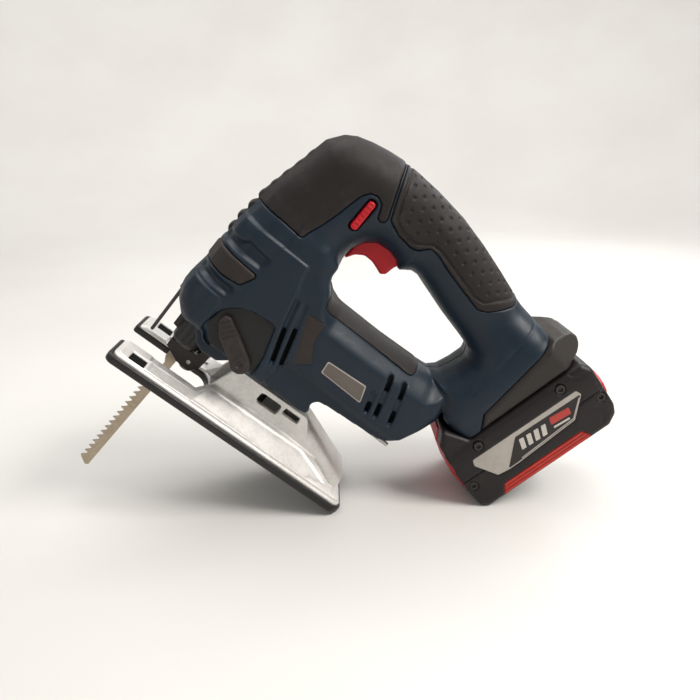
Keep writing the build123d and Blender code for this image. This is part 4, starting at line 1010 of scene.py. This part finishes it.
def battery():
    g = Grid(160, 254.5, -38.4, 38.4, 60, 190, 0.9)
    f, base, V, U, A, v, u = pack_body(g)
    seam = 0.55 * (1 - sstep(np.abs(V + 27.0), 0.15, 0.8))
    core = np.maximum(np.maximum(base + 3.2, band(U, -5.0, 99.0)), A - 34.0)
    for name, cut in (("battery_inner_case", V + 27.08), ("battery_outer_case", -(V + 26.92))):
        ff = smax(f + seam, cut, 0.3)
        ff = np.maximum(ff, -core)
        vv, q = nets(ff, g)
        mesh(name + "_skin", vv, q, [PACK], "battery", (name,), keep=0.55)
    # red end bumpers with raised ridges across them
    fb = None
    for reg, w in ((BOT_RED, 30.1), (TOP_RED, 26.1)):
        r2 = poly(reg, v, u)[:, None, :]
        if reg is BOT_RED:
            # stands proud in the middle, flush with the case at its ends
            r2 = poly(BUMP, V + 0 * A, U - 0.0055 * A * A)
            p = smax(r2, A - w, 2.4)
        else:
            r2 = poly(BUMP_T, V + 0 * A, U + 0.0042 * A * A)
            p = smax(r2, A - w, 2.4)
        p = p + 0.5 * (1 - sstep(np.abs((V + 30) / 6.0 - np.round((V + 30) / 6.0)) * 6.0, 0.3, 1.0)) * (A < w - 2.0)
        if reg is TOP_RED:
            # a flat rim fills the seat round the upper bumper
            rim = np.maximum(np.maximum(base + 0.15, poly(reg, v, u)[:, None, :] + 0.45), A - w)
            p = np.minimum(p, rim)
        p = np.maximum(p, -(base + 1.6))
        fb = p if fb is None else np.minimum(fb, p)
    vv, q = nets(fb, g)
    mesh("end_bumper_skin", vv, q, [RED], "battery", ("battery_end_bumpers",), keep=0.6)


battery()


def button():
    g = Grid(157, 188, -22, 22, 76, 96, 0.5)
    X, Y, Z = g.X, g.Y, g.Z
    v, u = vu(X[:, 0, :], Z[:, 0, :])
    d = poly(BUTTON, v, u)[:, None, :]
    V = v[:, None, :]
    f = rext(d, Y, 20.0, 1.1)
    f = f + 0.5 * (1 - sstep(np.abs((Y + 0.0) / 4.0 - np.round(Y / 4.0)) * 4.0, 0.3, 0.9)) * (np.abs(Y) < 17)
    vv, q = nets(f, g)
    return mesh("release_button_skin", vv, q, [RED], "pack_release", ("battery_release_button",), keep=0.8)


button()


def plates(name, mats, body, nodes, items):
    """Thin plates from outlines: (points in x,z; y of the face, thickness sign, material)."""
    V, F, M = [], [], []
    for pts, y0, y1, mi in items:
        n = len(pts)
        b = len(V)
        for (x, z) in pts:
            V.append((x, y0, z))
        for (x, z) in pts:
            V.append((x, y1, z))
        F.append(list(range(b, b + n)))
        M.append(mi)
        F.append(list(range(b + 2 * n - 1, b + n - 1, -1)))
        M.append(mi)
        for i in range(n):
            j = (i + 1) % n
            F.append([b + i, b + n + i, b + n + j, b + j])
            M.append(mi)
    o = mesh(name, np.array(V), F, mats, body, nodes, smooth=False, attr=False)
    o.data.polygons.foreach_set("material_index", np.array(M, np.int32))
    o.data.update()
    bm_fix(o)
    return o


def bm_fix(o):
    import bmesh
    bm = bmesh.new()
    bm.from_mesh(o.data)
    bmesh.ops.recalc_face_normals(bm, faces=bm.faces)
    bm.to_mesh(o.data)
    bm.free()


def labels():
    items = []
    full = fil([(-38.3, 6.9), (-36.9, 87.9), (-32.7, 89.5), (-19.3, 76.4), (-16.5, 29.6), (-16.5, 22.0), (-17.8, 13.8), (-34.0, 5.3)], [1.4, 1.0, 1.2, 1.4, 2, 2, 1.4, 1.4])
    black = fil([(-34.5, 38.8), (-33.1, 88.0), (-32.2, 88.3), (-20.2, 76.0), (-17.4, 29.6), (-17.4, 23.4), (-17.9, 22.8)], [1.6, 0.6, 0.6, 1.0, 1, 0.6, 0.6])
    frame_ = fil([(-31.3, 87.6), (-20.6, 76.6), (-18.0, 33.6), (-18.8, 33.6), (-21.4, 76.2), (-31.8, 86.8)], 0.2)
    red = fil([(-31.9, 63.8), (-30.3, 77.9), (-25.2, 77.1), (-26.4, 62.4)], 0.5)
    bars = [fil([(-31.4 + 0.35 * k, 39.6 + 5.6 * k), (-23.4 + 0.25 * k, 37.2 + 5.4 * k), (-23.2 + 0.25 * k, 40.6 + 5.4 * k), (-31.1 + 0.35 * k, 43.0 + 5.6 * k)], 0.5) for k in range(4)]
    bars.append(fil([(-24.6, 63.0), (-23.6, 74.6), (-22.2, 74.4), (-23.2, 62.6)], 0.3))
    for s in (-1, 1):
        for pts, a, b, mi in [(full, 36.2, 36.98, 0), (black, 36.6, 37.10, 1), (red, 36.8, 37.2, 2), (frame_, 36.8, 37.18, 0)] + [(d, 36.8, 37.2, 3) for d in bars]:
            items.append(([from_vu(v, u) for v, u in pts], s * a, s * b, mi))
    return plates("battery_label_skin", [SILVER, FIELD, LRED, PALE], "battery", ("battery_labels",), items)


labels()
guide_slots()


def side_bands():
    """Red band on either flank with three raised bars."""
    items = []
    for sg in (-1, 1):
        items.append(([from_vu(v, u) for v, u in SIDE_RED], sg * 34.9, sg * 36.5, 0))
        for k in range(3):
            a = -9.05 + 2.42 * k
            b = a + 1.92
            bar = [(a, 13.9 - (a + 9.3) * 0.6575), (b, 13.9 - (b + 9.3) * 0.6575), (b, 74.8 + (b + 9.6) * 0.5417), (a, 74.8 + (a + 9.6) * 0.5417)]
            items.append(([from_vu(v, u) for v, u in fil(bar, 0.35)], sg * 36.0, sg * 37.3, 0))
    return plates("side_band_skin", [STRIPE], "battery", ("battery_side_bands",), items)


side_bands()


def name_plate():
    inner = [(x + (95.0 - x) * 0.05, z + (78.2 - z) * 0.14) for x, z in PLATE]
    items = [(PLATE, -31.25, -30.0, 0), (fil([tuple(p) for p in inner], 0.01), -31.42, -31.0, 1)]
    return plates("nameplate_skin", [SILVER, GREY], "body", ("nameplate",), items)


name_plate()


def side_fields():
    """Dark inlays: a bare field on both flanks, and the dial under the selector in a darker casing tone that paints the
    shade of its recess.
    """
    def inset(pg, t):
        c = np.mean(pg, 0)
        return [tuple(c + (np.array(q) - c) * t) for q in pg]
    for sgn, node in ((-1, "housing_left"), (1, "housing_right")):
        items = [(inset(MOTIF, 0.97), sgn * 29.4, sgn * 30.75, 0), (inset(MOTIF, 0.80), sgn * 30.0, sgn * 30.95, 0)]
        if sgn < 0:
            dial = fil([(5.0, 57), (5.6, 65.2), (7.8, 69.0), (13.9, 74.8), (21.6, 78.3), (31.3, 79.2), (37.8, 79.1), (39.2, 74.8), (44.2, 58.5), (45.4, 48), (43.6, 45), (13, 45), (8, 50)],
                       [3, 4, 4, 6, 6, 4, 2, 2, 4, 3, 2, 2, 3])
            # the dial plate is a darker casing tone: painted shade of the selector recess
            items.append((dial, -28.0, -30.4, 1))
        # dark sheets behind the air slots: painted shade of the housing interior
        items.append(([(37.0, 86.0), (40.0, 56.0), (60.0, 56.0), (60.0, 92.0), (46.0, 92.0)], sgn * 25.9, sgn * 26.7, 2))
        items.append(([(114.0, 68.0), (140.0, 68.0), (140.0, 101.0), (114.0, 101.0)], sgn * 25.9, sgn * 26.7, 2))
        plates(node + "_inlay", [BROWN, SCOOP, HOLE_SHADE], "body", (node,), items)


side_fields()

# ---------------------------------------------------------------- stage, light, camera
FLOOR_Z = CAD_BOX[0][2] if hasattr(CAD_BOX[0], "__len__") else 0.0


def floor():
    na, rings = 96, [0.3, 0.7, 1.1, 1.3] + [1.3 + 2.7 * (k + 1) / 30.0 for k in range(30)]
    pts, fs = [(0.0, 0.0, FLOOR_Z - 0.0002)], []
    for r in rings:
        z = 3.7 * (max(r - 1.3, 0.0) / 2.7) ** 2
        for k in range(na):
            t = 2 * math.pi * k / na
            pts.append((r * math.cos(t), r * math.sin(t), FLOOR_Z + z - 0.0002))
    for k in range(na):
        fs.append([0, 1 + k, 1 + (k + 1) % na])
    for i in range(len(rings) - 1):
        for k in range(na):
            k2 = (k + 1) % na
            fs.append([1 + i * na + k, 1 + (i + 1) * na + k, 1 + (i + 1) * na + k2, 1 + i * na + k2])
    me = bpy.data.meshes.new("studio_floor")
    me.from_pydata(pts, [], fs)
    me.polygons.foreach_set("use_smooth", np.ones(len(fs), bool))
    m = Tree("studio_floor")
    n1 = m.noise(3.0, 3.0, 0.5)
    n2 = m.noise(700.0, 2.0, 0.5)
    col = m.ramp(n1, [(0.3, (0.66, 0.645, 0.62)), (0.7, (0.70, 0.69, 0.67))])
    m.set(base_color=col, roughness=m.rng(n2, 0.3, 0.7, 0.5, 0.62), normal=m.bump(n2, 0.05, 0.0002))
    me.materials.append(m.mat)
    o = bpy.data.objects.new("studio_floor", me)
    bpy.context.scene.collection.objects.link(o)


floor()


def area(name, loc, target, power, size, color=(1, 1, 1), shape="RECTANGLE", size_y=None):
    d = bpy.data.lights.new(name, "AREA")
    d.energy = power
    d.color = color
    d.shape = shape
    d.size = size
    if size_y:
        d.size_y = size_y
    o = bpy.data.objects.new(name, d)
    o.location = loc
    o.rotation_euler = (Vector(target) - Vector(loc)).to_track_quat("-Z", "Y").to_euler()
    bpy.context.scene.collection.objects.link(o)
    return o


mid = Vector((0.0, 0.0, 0.12))
area("key", (0.85, -0.38, 1.05), mid, 16.0, 0.5, (1.0, 0.965, 0.92), size_y=0.4)
area("top", (-0.10, 0.30, 1.25), mid, 4.5, 0.9, (1.0, 0.98, 0.95), size_y=0.6)
area("dome", (0.0, 0.0, 2.7), mid, 34.0, 3.2, (1.0, 0.99, 0.97), size_y=3.2)
area("fill", (-0.95, -0.75, 0.55), mid, 1.3, 0.7, (0.93, 0.96, 1.0), size_y=0.6)
area("rim", (0.75, 0.75, 0.75), mid, 4.0, 0.5, (0.95, 0.97, 1.0), size_y=0.4)
area("back", (0.0, 0.9, 1.9), Vector((0.0, 2.4, 0.8)), 30.0, 2.4, (1.0, 0.985, 0.96), size_y=0.6)
world = bpy.data.worlds.new("studio")
bpy.context.scene.world = world
world.use_nodes = True
bg = world.node_tree.nodes["Background"]
bg.inputs["Color"].default_value = (0.80, 0.79, 0.77, 1.0)
bg.inputs["Strength"].default_value = 0.22

cam = bpy.data.cameras.new("camera")
cam.sensor_width = 36.0
cam.lens = 573.8 / 700.0 * 36.0
cam.clip_start = 0.01
co = bpy.data.objects.new("camera", cam)
bpy.context.scene.collection.objects.link(co)
right = turn((0.76674, -0.03505, 0.64100))
upv = -turn((0.59486, -0.33661, -0.72995))
back = -turn((0.24135, 0.94099, -0.23724))
rot = Matrix((right, upv, back)).transposed().to_4x4()
p = row(np.array([-3.88, -372.94, 183.02]))
co.matrix_world = Matrix.Translation(Vector(tuple(float(t) for t in p))) @ rot
bpy.context.scene.camera = co
bpy.context.scene.view_settings.view_transform = "Standard"
bpy.context.scene.view_settings.look = "None"

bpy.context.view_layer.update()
